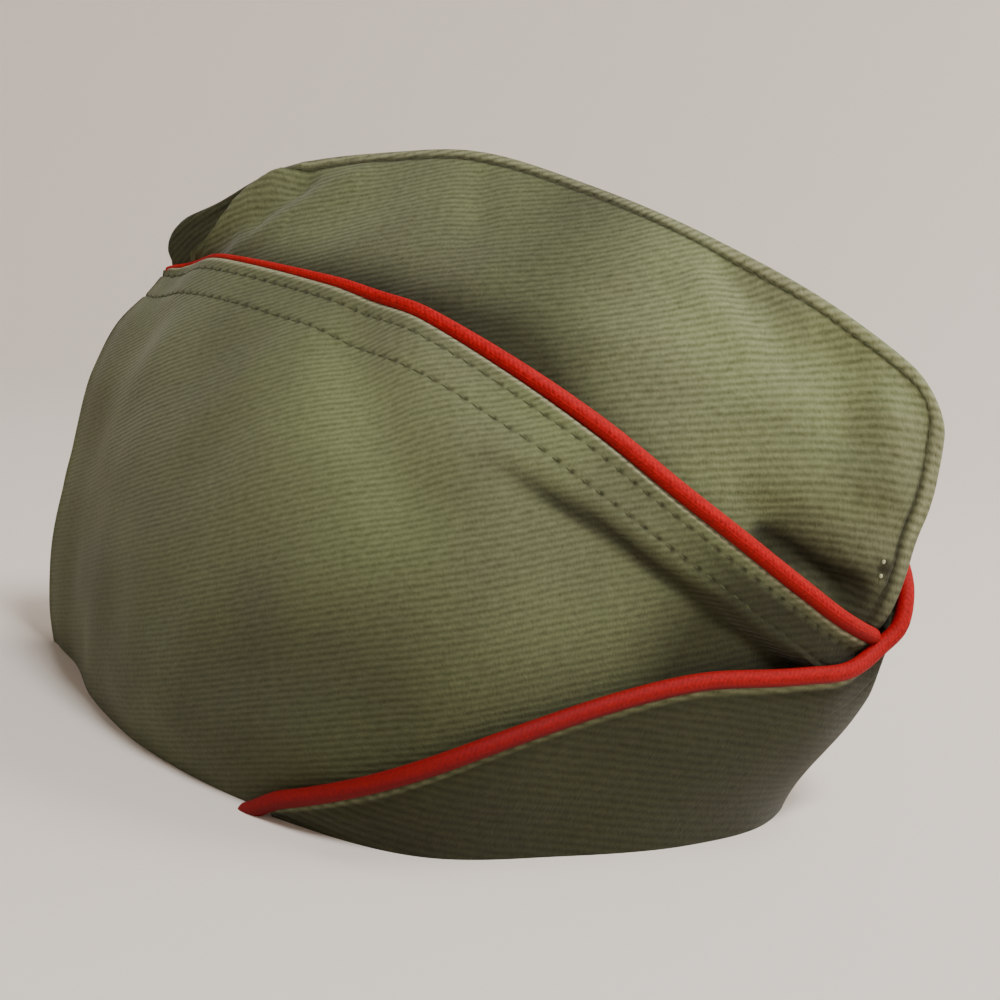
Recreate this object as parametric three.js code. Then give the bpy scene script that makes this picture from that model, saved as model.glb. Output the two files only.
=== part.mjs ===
// A garrison cap: two crown panels, two turned-up curtains and their cord edges.
// Millimetres, +X to the cap's front, +Y to the wearer's left, +Z up from the rim.
import * as THREE from 'three';

// Driving sizes
const RIM_LENGTH = 199;
const RIM_WIDTH = 151;
const RIDGE_LENGTH = 202.5;
const RIDGE_HEIGHT = 146;
const RIDGE_LEAD = 23;
const CROWN_WALL = 1.4;
const CURTAIN_WALL = 1.8;
const CORD = 4;
const FLARE = 4.2;
const CROSS_FLARE = 6.8;

// Clearances: between layers of cloth, at the seams, and under the cord where it meets the rim.
const LAYER_GAP = 0.4;
const SEAM_GAP = 0.3;
const CORD_FLOOR = 0.2;
// The cloth is hollow round the cord at the rear. There the cord lies this much further out, and
// the curtain's edge this much further below it, as far as this run.
const REAR_LIFT = 0.6;
const REAR_DROP = 1.8;
const REAR_HOLLOW = 0.14;

// How finely the walls and cords are faceted
const COLUMNS = 38;
const CORD_SIDES = 8;
const CORD_SECTION = 5.4;
const CORD_SECTIONS_MOST = 80;
const CORD_PATH_STEP = 0.0125;
const SHORTEST_COLUMN = 0.005;

// Where the curtains end past the centre front, in runs of the rim's half
const UNDERLAP_END = 1.04;
const TAIL_END = 1.5;
const CORD_TUCK = 0.985;

// On one side of the cap, s runs along the rim from the rear seam (0) to the front seam (1),
// and t runs up from the rim (0) to the ridge seam (1).

// Plan of the rim: share of its length from the rear, share of its half width
const RIM = [
  { s: 0, along: 0, out: 0 },
  { s: 0.06, along: 0.065, out: 0.13 },
  { s: 0.185, along: 0.176, out: 0.45 },
  { s: 0.333, along: 0.33, out: 0.76 },
  { s: 0.496, along: 0.533, out: 0.975 },
  { s: 0.62, along: 0.7, out: 1 },
  { s: 0.733, along: 0.82, out: 0.77 },
  { s: 0.853, along: 0.93, out: 0.47 },
  { s: 0.955, along: 0.992, out: 0.16 },
  { s: 1, along: 1, out: 0 },
];

// Ridge seam: share of its length from the rear peak, share of its height
const RIDGE = [
  { s: 0, along: 0, height: 0.815 },
  { s: 0.08, along: 0.06, height: 0.855 },
  { s: 0.2, along: 0.155, height: 0.935 },
  { s: 0.35, along: 0.31, height: 0.985 },
  { s: 0.46, along: 0.41, height: 1 },
  { s: 0.6, along: 0.55, height: 0.968 },
  { s: 0.75, along: 0.71, height: 0.906 },
  { s: 0.88, along: 0.87, height: 0.817 },
  { s: 0.96, along: 0.965, height: 0.74 },
  { s: 1, along: 1, height: 0.7 },
];

// Upright sections at the rear seam, amidships and at the front seam. lean is the share of the
// way forward from rim to ridge, inward the share of the way in from the side to the seam plane.
const REAR = [
  { t: 0, lean: 0, inward: 0 },
  { t: 0.18, lean: -0.13, inward: -0.02 },
  { t: 0.35, lean: -0.02, inward: 0.04 },
  { t: 0.52, lean: 0.135, inward: 0.15 },
  { t: 0.66, lean: 0.31, inward: 0.32 },
  { t: 0.75, lean: 0.54, inward: 0.47 },
  { t: 0.84, lean: 0.96, inward: 0.64 },
  { t: 0.9, lean: 1.13, inward: 0.8 },
  { t: 0.94, lean: 1.03, inward: 0.9 },
  { t: 1, lean: 1, inward: 1 },
];
const MIDDLE = [
  { t: 0, lean: 0, inward: 0 },
  { t: 0.2, lean: 0.01, inward: -0.02 },
  { t: 0.4, lean: 0.1, inward: 0.06 },
  { t: 0.6, lean: 0.27, inward: 0.24 },
  { t: 0.8, lean: 0.56, inward: 0.56 },
  { t: 0.92, lean: 0.81, inward: 0.82 },
  { t: 1, lean: 1, inward: 1 },
];
const FRONT = [
  { t: 0, lean: 0, inward: 0 },
  { t: 0.25, lean: 0.28, inward: 0.11 },
  { t: 0.48, lean: 0.6, inward: 0.31 },
  { t: 0.64, lean: 0.87, inward: 0.48 },
  { t: 0.74, lean: 0.99, inward: 0.62 },
  { t: 0.87, lean: 1.03, inward: 0.8 },
  { t: 1, lean: 1, inward: 1 },
];
const REAR_REACH = 0.35;
const FRONT_REACH = 0.4;

// Height of each cord's centre line, as a share of the ridge above it. u is s as far as the centre
// front, and then goes on past 1 as the curtain crosses to the other side.
const RIGHT_EDGE = [
  { u: 0, height: 0.9 },
  { u: 0.06, height: 0.878 },
  { u: 0.12, height: 0.852 },
  { u: 0.25, height: 0.8 },
  { u: 0.36, height: 0.768 },
  { u: 0.5, height: 0.733 },
  { u: 0.6, height: 0.7 },
  { u: 0.7, height: 0.643 },
  { u: 0.8, height: 0.57 },
  { u: 0.9, height: 0.5 },
  { u: 0.95, height: 0.472 },
  { u: 1, height: 0.462 },
  { u: 1.06, height: 0.45 },
];
const LEFT_EDGE = [
  { u: 0, height: 0.9 },
  { u: 0.06, height: 0.878 },
  { u: 0.12, height: 0.853 },
  { u: 0.25, height: 0.805 },
  { u: 0.36, height: 0.777 },
  { u: 0.5, height: 0.75 },
  { u: 0.7, height: 0.7 },
  { u: 0.85, height: 0.655 },
  { u: 0.94, height: 0.615 },
  { u: 0.98, height: 0.56 },
  { u: 1.005, height: 0.49 },
  { u: 1.025, height: 0.428 },
  { u: 1.045, height: 0.383 },
  { u: 1.08, height: 0.346 },
  { u: 1.18, height: 0.295 },
  { u: 1.26, height: 0.242 },
  { u: 1.34, height: 0.182 },
  { u: 1.42, height: 0.1 },
  { u: 1.47, height: 0.053 },
  { u: 1.54, height: 0 },
];

// How far each curtain's top edge stands off what it lies on, as a share of its flare
const RIGHT_STAND = [
  { u: 0, off: 0.2 },
  { u: 0.3, off: 0.26 },
  { u: 0.6, off: 0.48 },
  { u: 0.85, off: 0.83 },
  { u: 0.97, off: 0.98 },
  { u: 1, off: 0.9 },
  { u: 1.04, off: 0.45 },
];
const LEFT_STAND = [
  { u: 0, off: 0.12 },
  { u: 0.3, off: 0.16 },
  { u: 0.6, off: 0.3 },
  { u: 0.8, off: 0.48 },
  { u: 0.93, off: 0.64 },
  { u: 0.98, off: 0.82 },
  { u: 1.01, off: 0.85 },
  { u: 1.04, off: 0.76 },
  { u: 1.08, off: 0.57 },
  { u: 1.12, off: 0.4 },
  { u: 1.18, off: 0.26 },
  { u: 1.3, off: 0.15 },
  { u: 1.54, off: 0.1 },
];

// Near the front the left curtain's edge rolls back in by this share of its stand-off.
const EDGE_ROLL = 0.36;

// The right curtain's hem strip stands proud above a crease, at this share of the curtain's height
const CREASE_LOW = 0.75;
const CREASE_HIGH = 0.79;
const CREASE_START = 0.58;
const CREASE_FULL = 0.72;
// Rows of a crown panel as shares of its height, closest in the hollow that its cord lies in, and
// of a curtain as shares of the curtain's own height
const CROWN_ROWS = [0, 0.09, 0.18, 0.27, 0.36, 0.45, 0.54, 0.63, 0.71, 0.78, 0.83, 0.87, 0.91, 0.95, 1];
const CURTAIN_ROWS = [0, 0.09, 0.18, 0.3, 0.45, 0.6, 0.74, 0.77, 0.8, 0.88, 1];

// Soft folds, each from one place to another. Width and depth are shares of the ridge's height,
// and a negative depth is a valley. These are in the curtains, and press in the crown below.
const RIGHT_FOLDS = [
  { s0: 0.456, t0: 0.68, s1: 0.56, t1: 0.5, width: 0.055, depth: -0.017 },
  { s0: 0.52, t0: 0.7, s1: 0.62, t1: 0.55, width: 0.06, depth: 0.012 },
  { s0: 0.44, t0: 0.19, s1: 0.58, t1: 0.22, width: 0.07, depth: -0.014 },
  { s0: 0.32, t0: 0.1, s1: 0.5, t1: 0.13, width: 0.085, depth: 0.01 },
];
const LEFT_FOLDS = [
  { s0: 0.35, t0: 0.6, s1: 0.5, t1: 0.4, width: 0.08, depth: -0.012 },
  { s0: 0.62, t0: 0.35, s1: 0.75, t1: 0.2, width: 0.07, depth: -0.01 },
];
// A valley presses the crown in by a little more than its own depth.
const PRESSED = 1.2;
// These move the crown alone, above the curtain's edge.
const RIGHT_CROWN_FOLDS = [
  { s0: 0.785, t0: 0.97, s1: 0.85, t1: 0.89, width: 0.05, depth: -0.018 },
  { s0: 0.885, t0: 0.93, s1: 0.905, t1: 0.8, width: 0.045, depth: -0.02 },
  { s0: 0.94, t0: 0.87, s1: 0.95, t1: 0.75, width: 0.05, depth: 0.02 },
  { s0: 0.86, t0: 0.6, s1: 0.96, t1: 0.52, width: 0.06, depth: -0.03 },
  { s0: 0.315, t0: 0.95, s1: 0.205, t1: 0.84, width: 0.04, depth: 0.012 },
  { s0: 0.25, t0: 0.95, s1: 0.215, t1: 0.9, width: 0.03, depth: -0.012 },
  { s0: 0.22, t0: 0.955, s1: 0.11, t1: 0.89, width: 0.04, depth: 0.025 },
];
const LEFT_CROWN_FOLDS = [
  { s0: 0.8, t0: 0.95, s1: 0.86, t1: 0.8, width: 0.06, depth: -0.018 },
  { s0: 0.25, t0: 0.95, s1: 0.18, t1: 0.88, width: 0.05, depth: -0.014 },
];
// Folds die out within these shares of the rim's half at each seam, and of the height at the ridge.
const FOLD_FADE = 0.05;
const RIDGE_FADE = 0.07;
// The crown's folds show from here to here above its curtain's edge.
const BARE_FROM = 0.05;
const BARE_FULL = 0.13;
// Offsets are level at the rim and square to the face above this share of the height. They turn
// into the seam plane within these shares of the run at the front and rear seams.
const LEVEL_RIM = 0.12;
const FRONT_TURN = 0.07;
const REAR_TURN = 0.05;
// The left curtain rises over the right one, and its edge rolls, along these runs.
const OVER_START = 0.8;
const OVER_FULL = 0.93;
const ROLL_START = 0.9;
const ROLL_FULL = 0.97;
const ROLL_EASE = 1.01;
const ROLL_END = 1.05;
// A curtain reaches its full stand-off within this share of its height.
const STAND_START = 0.05;
const STAND_FULL = 0.7;
const SOFT_FULL = 0.8;

// Colours and finishes seen in daylight
const KHAKI_CROWN = 0x7c7b57;
const KHAKI_CURTAIN = 0x6f6d4b;
const CORD_RED = 0xb5231d;

// Half the rim's run, near enough: this share of the rim's length and width together
const HALF_RUN = 0.755;
const rimRun = HALF_RUN * (RIM_LENGTH + RIM_WIDTH);
// Small steps for slopes
const SHARE_STEP = 0.001;
const RUN_STEP = 0.004;

// A smooth curve through a table's rows, by the slopes of the rows on each side
function curve(rows, key, column, x) {
  const last = rows.length - 1;
  const at = Math.min(Math.max(x, rows[0][key]), rows[last][key]);
  const step = (i) => rows[i + 1][key] - rows[i][key];
  const rise = (i) => (rows[i + 1][column] - rows[i][column]) / step(i);
  const inner = (i) => (step(i) * rise(i - 1) + step(i - 1) * rise(i)) / (step(i) + step(i - 1));
  const slope = (i) => {
    if (i === 0) return 2 * rise(0) - inner(1);
    if (i === last) return 2 * rise(last - 1) - inner(last - 1);
    return inner(i);
  };
  let i = 0;
  while (i < last - 1 && at > rows[i + 1][key]) i += 1;
  const h = step(i);
  const w = (at - rows[i][key]) / h;
  return (1 + 2 * w) * (1 - w) ** 2 * rows[i][column]
    + w * (1 - w) ** 2 * h * slope(i)
    + w * w * (3 - 2 * w) * rows[i + 1][column]
    + w * w * (w - 1) * h * slope(i + 1);
}

// The outer face of one crown panel before its folds. side is -1 on the right, 1 on the left.
function crownFace(side, s, t) {
  const rear = 1 - THREE.MathUtils.smoothstep(s, 0, REAR_REACH);
  const front = THREE.MathUtils.smoothstep(s, 1 - FRONT_REACH, 1);
  const blend = (column) => rear * curve(REAR, 't', column, t)
    + front * curve(FRONT, 't', column, t)
    + (1 - rear - front) * curve(MIDDLE, 't', column, t);
  const rimX = RIM_LENGTH * curve(RIM, 's', 'along', s);
  const ridgeX = RIDGE_LEAD + RIDGE_LENGTH * curve(RIDGE, 's', 'along', s);
  return new THREE.Vector3(
    rimX + (ridgeX - rimX) * blend('lean'),
    side * (RIM_WIDTH / 2) * curve(RIM, 's', 'out', s) * (1 - blend('inward')),
    RIDGE_HEIGHT * curve(RIDGE, 's', 'height', s) * t,
  );
}

// The outward direction there. At the seams it turns into the seam plane, so layers wrap round.
function outward(side, s, t) {
  const d = SHARE_STEP;
  const clamp = (x) => Math.min(Math.max(x, 0), 1);
  const along = crownFace(side, clamp(s + d), t).sub(crownFace(side, clamp(s - d), t));
  const up = crownFace(side, s, clamp(t + d)).sub(crownFace(side, s, clamp(t - d)));
  const face = new THREE.Vector3().crossVectors(along, up).multiplyScalar(-side);
  if (face.length() > 0) face.normalize();
  const front = THREE.MathUtils.smoothstep(s, 1 - FRONT_TURN, 1);
  const rear = 1 - THREE.MathUtils.smoothstep(s, 0, REAR_TURN);
  const seam = new THREE.Vector3(up.z, 0, -up.x).normalize();
  face.multiplyScalar(1 - front - rear).addScaledVector(seam, front - rear);
  return face.normalize();
}

// Sum of a list of folds at one place
function foldDepth(folds, s, t) {
  let sum = 0;
  for (const f of folds) {
    const run = new THREE.Vector2((f.s1 - f.s0) * rimRun, (f.t1 - f.t0) * RIDGE_HEIGHT);
    const to = new THREE.Vector2((s - f.s0) * rimRun, (t - f.t0) * RIDGE_HEIGHT);
    const share = Math.min(Math.max(to.dot(run) / run.lengthSq(), 0), 1);
    const away = to.sub(run.multiplyScalar(share)).length() / (f.width * RIDGE_HEIGHT);
    sum += f.depth * RIDGE_HEIGHT * Math.exp(-away * away);
  }
  const fade = THREE.MathUtils.smoothstep(s, 0, FOLD_FADE)
    * (1 - THREE.MathUtils.smoothstep(s, 1 - FOLD_FADE, 1));
  return sum * fade;
}

const halfOf = (u) => (u > 1 ? 2 - u : u);
const curtainFolds = (side) => (side < 0 ? RIGHT_FOLDS : LEFT_FOLDS);
const curtainDepth = (side, u, t) => foldDepth(curtainFolds(u > 1 ? -side : side), halfOf(u), t);

// A place on the cap: off is the distance outward from the crown's outer face. u past 1 lies on
// the other side. The rim's edge stays level, so offsets there are horizontal.
function place(side, u, t, off) {
  const onSide = u > 1 ? -side : side;
  const s = halfOf(u);
  const direction = outward(onSide, s, t);
  direction.z *= THREE.MathUtils.smoothstep(t, 0, LEVEL_RIM);
  return crownFace(onSide, s, t).addScaledVector(direction, off);
}

const ridgeHeight = (u) => RIDGE_HEIGHT * curve(RIDGE, 's', 'height', halfOf(u));

// 1 at the rear seam, 0 from the end of the hollow on
const inHollow = (u) => 1 - THREE.MathUtils.smoothstep(u, 0, REAR_HOLLOW);

// The cloth's top edge lies under the cord, by the cord's radius square to its run
function edgeHeight(edge, u) {
  const d = RUN_STEP;
  const height = (x) => curve(edge, 'u', 'height', x) * ridgeHeight(x);
  const slope = (height(u + d) - height(u - d)) / (2 * d * rimRun);
  const below = CORD / 2 + LAYER_GAP + REAR_DROP * inHollow(u);
  return height(u) - below * Math.hypot(1, slope);
}
const edgeShare = (edge, u) => edgeHeight(edge, u) / ridgeHeight(u);

// Offset of the right curtain's inner face. Above the crease its hem strip stands right out.
function rightInner(u, t) {
  const share = Math.min(t / edgeShare(RIGHT_EDGE, u), 1);
  const crease = THREE.MathUtils.smoothstep(halfOf(u), CREASE_START, CREASE_FULL);
  const soft = THREE.MathUtils.smoothstep(share, 0, SOFT_FULL);
  const sharp = THREE.MathUtils.smoothstep(share, CREASE_LOW, CREASE_HIGH);
  const stand = FLARE * curve(RIGHT_STAND, 'u', 'off', u);
  return LAYER_GAP + stand * (soft + (sharp - soft) * crease);
}

// Offset of the left curtain's inner face. From near the front on it also clears the right one.
function leftInner(u, t) {
  const share = Math.min(t / edgeShare(LEFT_EDGE, u), 1);
  const over = THREE.MathUtils.smoothstep(u, OVER_START, OVER_FULL);
  const stand = CROSS_FLARE * curve(LEFT_STAND, 'u', 'off', u);
  const atFront = THREE.MathUtils.smoothstep(u, ROLL_START, ROLL_FULL)
    * (1 - THREE.MathUtils.smoothstep(u, ROLL_EASE, ROLL_END));
  const roll = EDGE_ROLL * atFront * THREE.MathUtils.smoothstep(share, STAND_FULL, 1);
  return LAYER_GAP + (CURTAIN_WALL + LAYER_GAP) * over
    + stand * (THREE.MathUtils.smoothstep(share, STAND_START, STAND_FULL) - roll);
}

// Columns of every wall, closer together at the seams. Shared, so that the layers nest.
const CROWDING = 0.4;
const columns = [];
for (let i = 0; i <= COLUMNS; i += 1) {
  const even = i / COLUMNS;
  columns.push((1 - CROWDING) * even + CROWDING * (1 - Math.cos(Math.PI * even)) / 2);
}

// Columns of a curtain that runs past the centre front to u = end
function curtainColumns(end) {
  const past = columns.map((s) => 2 - s).reverse().filter((u) => u > 1 && u < end - SHORTEST_COLUMN);
  return [...columns, ...past, end];
}

// A closed wall over a grid. point(i, j, k) gives the inner (k = 0) and outer (k = 1) face.
function wall(across, up, point, flip) {
  const positions = [];
  const index = [];
  const id = (i, j, k) => (i * (up + 1) + j) * 2 + k;
  for (let i = 0; i <= across; i += 1) {
    for (let j = 0; j <= up; j += 1) {
      positions.push(...point(i, j, 0).toArray(), ...point(i, j, 1).toArray());
    }
  }
  const quad = (a, b, c, d) => {
    if (flip) index.push(a, c, b, a, d, c);
    else index.push(a, b, c, a, c, d);
  };
  for (let i = 0; i < across; i += 1) {
    for (let j = 0; j < up; j += 1) {
      quad(id(i, j, 1), id(i + 1, j, 1), id(i + 1, j + 1, 1), id(i, j + 1, 1));
      quad(id(i, j, 0), id(i, j + 1, 0), id(i + 1, j + 1, 0), id(i + 1, j, 0));
    }
    quad(id(i, 0, 0), id(i + 1, 0, 0), id(i + 1, 0, 1), id(i, 0, 1));
    quad(id(i, up, 1), id(i + 1, up, 1), id(i + 1, up, 0), id(i, up, 0));
  }
  for (let j = 0; j < up; j += 1) {
    quad(id(0, j, 0), id(0, j, 1), id(0, j + 1, 1), id(0, j + 1, 0));
    quad(id(across, j, 1), id(across, j, 0), id(across, j + 1, 0), id(across, j + 1, 1));
  }
  const geometry = new THREE.BufferGeometry();
  geometry.setAttribute('position', new THREE.Float32BufferAttribute(positions, 3));
  geometry.setIndex(index);
  geometry.computeVertexNormals();
  return geometry;
}

// Nothing of a side passes its half of the seam's gap, and no curtain does rear of this run
const AMIDSHIPS = 0.5;
function keepOwnSide(point, side) {
  point.y = side * Math.max(side * point.y, SEAM_GAP / 2);
  return point;
}

function crownGeometry(side) {
  const folds = side < 0 ? RIGHT_CROWN_FOLDS : LEFT_CROWN_FOLDS;
  const edge = side < 0 ? RIGHT_EDGE : LEFT_EDGE;
  return wall(columns.length - 1, CROWN_ROWS.length - 1, (i, j, k) => {
    const s = columns[i];
    const t = CROWN_ROWS[j];
    const covered = edgeShare(edge, s);
    const depth = foldDepth(folds, s, t) * (1 - THREE.MathUtils.smoothstep(t, 1 - RIDGE_FADE, 1));
    const bare = depth < 0 ? 1
      : THREE.MathUtils.smoothstep(t, covered + BARE_FROM, covered + BARE_FULL);
    const pressed = PRESSED * Math.min(foldDepth(curtainFolds(side), s, t), 0);
    const point = place(side, s, t, depth * bare + pressed - (k ? 0 : CROWN_WALL));
    return keepOwnSide(point, side);
  }, side > 0);
}

function curtainGeometry(side, edge, end, inner) {
  const across = curtainColumns(end);
  return wall(across.length - 1, CURTAIN_ROWS.length - 1, (i, j, k) => {
    const u = across[i];
    const t = CURTAIN_ROWS[j] * edgeShare(edge, u);
    const off = inner(u, t) + curtainDepth(side, u, t) + (k ? CURTAIN_WALL : 0);
    const point = place(side, u, t, off);
    return u < AMIDSHIPS ? keepOwnSide(point, side) : point;
  }, side > 0);
}

// The cord lies on the curtain's top edge, its inner side level with the curtain's inner face
function cordGeometry(side, edge, inner, end) {
  const points = [];
  for (let u = 0; u < end; u += CORD_PATH_STEP) {
    const t = curve(edge, 'u', 'height', u);
    const off = inner(u, t) + curtainDepth(side, u, t) + CORD / 2 + REAR_LIFT * inHollow(u);
    points.push(place(side, u, t, off));
  }
  points[0].y -= side * CORD / 2;
  const path = new THREE.CatmullRomCurve3(points);
  const section = new THREE.Shape();
  for (let i = 0; i < CORD_SIDES; i += 1) {
    const angle = (i / CORD_SIDES) * 2 * Math.PI;
    const x = (CORD / 2) * Math.cos(angle);
    const y = (CORD / 2) * Math.sin(angle);
    if (i === 0) section.moveTo(x, y);
    else section.lineTo(x, y);
  }
  const steps = Math.min(Math.round(path.getLength() / CORD_SECTION), CORD_SECTIONS_MOST);
  const geometry = new THREE.ExtrudeGeometry(section, { steps, extrudePath: path });
  const position = geometry.attributes.position;
  const point = new THREE.Vector3();
  for (let i = 0; i < position.count; i += 1) {
    point.fromBufferAttribute(position, i);
    if (point.x < RIM_LENGTH / 2 && point.z > RIDGE_HEIGHT / 2) keepOwnSide(point, side);
    position.setXYZ(i, point.x, point.y, point.z);
  }
  return geometry;
}

// The tail's cord ends where its underside comes down to the rim, past this run
const TAIL_SEARCH = 1.3;
function tailCordEnd() {
  let u = TAIL_SEARCH;
  const height = (x) => curve(LEFT_EDGE, 'u', 'height', x) * ridgeHeight(x);
  while (height(u) > CORD / 2 + CORD_FLOOR) u += SHARE_STEP;
  return u;
}

function cloth(color) {
  return new THREE.MeshStandardMaterial({ color, roughness: 0.95, metalness: 0 });
}

function named(name, geometry, material) {
  const mesh = new THREE.Mesh(geometry, material);
  mesh.name = name;
  return mesh;
}

const cap = new THREE.Group();
cap.name = 'garrison_cap';
cap.add(
  named('crown_right', crownGeometry(-1), cloth(KHAKI_CROWN)),
  named('crown_left', crownGeometry(1), cloth(KHAKI_CROWN)),
  named('curtain_right', curtainGeometry(-1, RIGHT_EDGE, UNDERLAP_END, rightInner), cloth(KHAKI_CURTAIN)),
  named('curtain_left', curtainGeometry(1, LEFT_EDGE, TAIL_END, leftInner), cloth(KHAKI_CURTAIN)),
  named('piping_right', cordGeometry(-1, RIGHT_EDGE, rightInner, CORD_TUCK), cloth(CORD_RED)),
  named('piping_left', cordGeometry(1, LEFT_EDGE, leftInner, tailCordEnd()), cloth(CORD_RED)),
);

// The origin lies on the surface under the rim, below the middle of the cap
const middle = new THREE.Box3().setFromObject(cap).getCenter(new THREE.Vector3());
cap.position.set(-middle.x, -middle.y, 0);

export default cap;
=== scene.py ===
# A garrison cap: ribbed cotton crown and turned-up curtains with a red braided edge cord.
import math

import bpy
import numpy as np
from mathutils import Matrix, Vector


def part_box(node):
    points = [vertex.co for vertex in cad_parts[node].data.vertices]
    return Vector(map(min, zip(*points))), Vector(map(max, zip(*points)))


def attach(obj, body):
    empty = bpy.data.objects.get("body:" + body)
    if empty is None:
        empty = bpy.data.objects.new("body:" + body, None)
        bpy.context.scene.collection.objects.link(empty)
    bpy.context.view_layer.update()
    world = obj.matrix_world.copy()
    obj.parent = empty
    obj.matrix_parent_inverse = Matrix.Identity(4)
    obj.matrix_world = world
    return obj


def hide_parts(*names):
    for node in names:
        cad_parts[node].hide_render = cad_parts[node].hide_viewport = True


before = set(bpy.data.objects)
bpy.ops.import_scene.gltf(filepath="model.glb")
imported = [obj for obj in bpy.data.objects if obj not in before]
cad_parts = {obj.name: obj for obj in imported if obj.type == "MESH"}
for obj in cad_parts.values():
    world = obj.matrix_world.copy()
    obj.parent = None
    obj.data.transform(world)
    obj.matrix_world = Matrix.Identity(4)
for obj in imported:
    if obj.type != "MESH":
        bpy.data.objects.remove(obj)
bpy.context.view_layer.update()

bl_info = {
    "name": "Garrison Cap",
    "version": (1, 0, 0),
    "blender": (4, 5, 0),
    "location": "View3D > Sidebar > Cap",
    "description": "Makes a garrison cap of ribbed cloth with a braided edge cord",
    "category": "Add Mesh",
}

MM = 0.001

# The form. s runs along one half of the rim from the rear seam (0) to the front seam (1), and t
# up from the rim (0) to the ridge seam (1). u is s up to the centre front and goes on past 1
# where a curtain crosses to the other side. side is -1 on the wearer's right and 1 on the left.


def table(columns, *rows):
    """Rows of numbers under named columns."""
    return dict(zip(columns.split(), np.array(rows, float).T))


RIM = table(
    "s along out",
    (0, 0, 0), (0.06, 0.065, 0.13), (0.185, 0.176, 0.45), (0.333, 0.33, 0.76),
    (0.496, 0.533, 0.975), (0.62, 0.7, 1), (0.733, 0.82, 0.77), (0.853, 0.93, 0.47),
    (0.955, 0.992, 0.16), (1, 1, 0))
RIDGE = table(
    "s along height",
    (0, 0, 0.815), (0.08, 0.06, 0.855), (0.2, 0.155, 0.935), (0.35, 0.31, 0.985),
    (0.46, 0.41, 1), (0.6, 0.55, 0.968), (0.75, 0.71, 0.906), (0.88, 0.87, 0.817),
    (0.96, 0.965, 0.74), (1, 1, 0.7))
REAR = table(
    "t lean inward",
    (0, 0, 0), (0.18, -0.13, -0.02), (0.35, -0.02, 0.04), (0.52, 0.135, 0.15),
    (0.66, 0.31, 0.32), (0.75, 0.54, 0.47), (0.84, 0.96, 0.64), (0.9, 1.13, 0.8),
    (0.94, 1.03, 0.9), (1, 1, 1))
MIDDLE = table(
    "t lean inward",
    (0, 0, 0), (0.2, 0.01, -0.02), (0.4, 0.1, 0.06), (0.6, 0.27, 0.24), (0.8, 0.56, 0.56),
    (0.92, 0.81, 0.82), (1, 1, 1))
FRONT = table(
    "t lean inward",
    (0, 0, 0), (0.25, 0.28, 0.11), (0.48, 0.6, 0.31), (0.64, 0.87, 0.48), (0.74, 0.99, 0.62),
    (0.87, 1.03, 0.8), (1, 1, 1))
REAR_REACH = 0.35
FRONT_REACH = 0.4

RIGHT_EDGE = table(
    "u height",
    (0, 0.9), (0.06, 0.878), (0.12, 0.852), (0.25, 0.8), (0.36, 0.768), (0.5, 0.733),
    (0.6, 0.7), (0.7, 0.643), (0.8, 0.57), (0.9, 0.5), (0.95, 0.472), (1, 0.462), (1.06, 0.45))
LEFT_EDGE = table(
    "u height",
    (0, 0.9), (0.06, 0.878), (0.12, 0.853), (0.25, 0.805), (0.36, 0.777), (0.5, 0.75), (0.7, 0.7),
    (0.85, 0.655), (0.94, 0.615), (0.98, 0.56), (1.005, 0.49), (1.025, 0.428), (1.045, 0.383),
    (1.08, 0.346), (1.18, 0.295), (1.26, 0.242), (1.34, 0.182), (1.42, 0.1), (1.47, 0.053),
    (1.54, 0))
RIGHT_STAND = table(
    "u off",
    (0, 0.2), (0.3, 0.26), (0.6, 0.48), (0.85, 0.83), (0.97, 0.98), (1, 0.9), (1.04, 0.45))
LEFT_STAND = table(
    "u off",
    (0, 0.12), (0.3, 0.16), (0.6, 0.3), (0.8, 0.48), (0.93, 0.64), (0.98, 0.82),
    (1.01, 0.85), (1.04, 0.76), (1.08, 0.57), (1.12, 0.4), (1.18, 0.26), (1.3, 0.15),
    (1.54, 0.1))

# Soft folds from (s0, t0) to (s1, t1). Width and depth are shares of the ridge's height, and a
# negative depth is a valley. The curtains' folds press in the crown below them.
FOLD = "s0 t0 s1 t1 width depth"
RIGHT_FOLDS = table(
    FOLD,
    (0.456, 0.68, 0.56, 0.5, 0.055, -0.017), (0.52, 0.7, 0.62, 0.55, 0.06, 0.012),
    (0.44, 0.19, 0.58, 0.22, 0.07, -0.014), (0.32, 0.1, 0.5, 0.13, 0.085, 0.01))
LEFT_FOLDS = table(
    FOLD,
    (0.35, 0.6, 0.5, 0.4, 0.08, -0.012), (0.62, 0.35, 0.75, 0.2, 0.07, -0.01))
RIGHT_CROWN_FOLDS = table(
    FOLD,
    (0.785, 0.97, 0.85, 0.89, 0.05, -0.018), (0.885, 0.93, 0.905, 0.8, 0.045, -0.02),
    (0.94, 0.87, 0.95, 0.75, 0.05, 0.02), (0.86, 0.6, 0.96, 0.52, 0.06, -0.03),
    (0.88, 0.566, 0.963, 0.528, 0.025, -0.016), (0.75, 0.915, 0.807, 0.868, 0.035, 0.009),
    (0.487, 0.96, 0.515, 0.89, 0.03, -0.007), (0.315, 0.95, 0.205, 0.84, 0.04, 0.008),
    (0.25, 0.95, 0.215, 0.9, 0.03, -0.012))
LEFT_CROWN_FOLDS = table(
    FOLD,
    (0.8, 0.95, 0.86, 0.8, 0.06, -0.018), (0.25, 0.95, 0.18, 0.88, 0.05, -0.014))

# Half the rim's run, as a share of its length and width together
HALF_RUN = 0.755
# Steps of s and t, and of u, over which a slope is taken
SHARE_STEP = 0.001
RUN_STEP = 0.004
# Where the outward direction turns into the seam plane, and where it levels out at the rim
FRONT_TURN = 0.07
REAR_TURN = 0.05
LEVEL_RIM = 0.12
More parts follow.
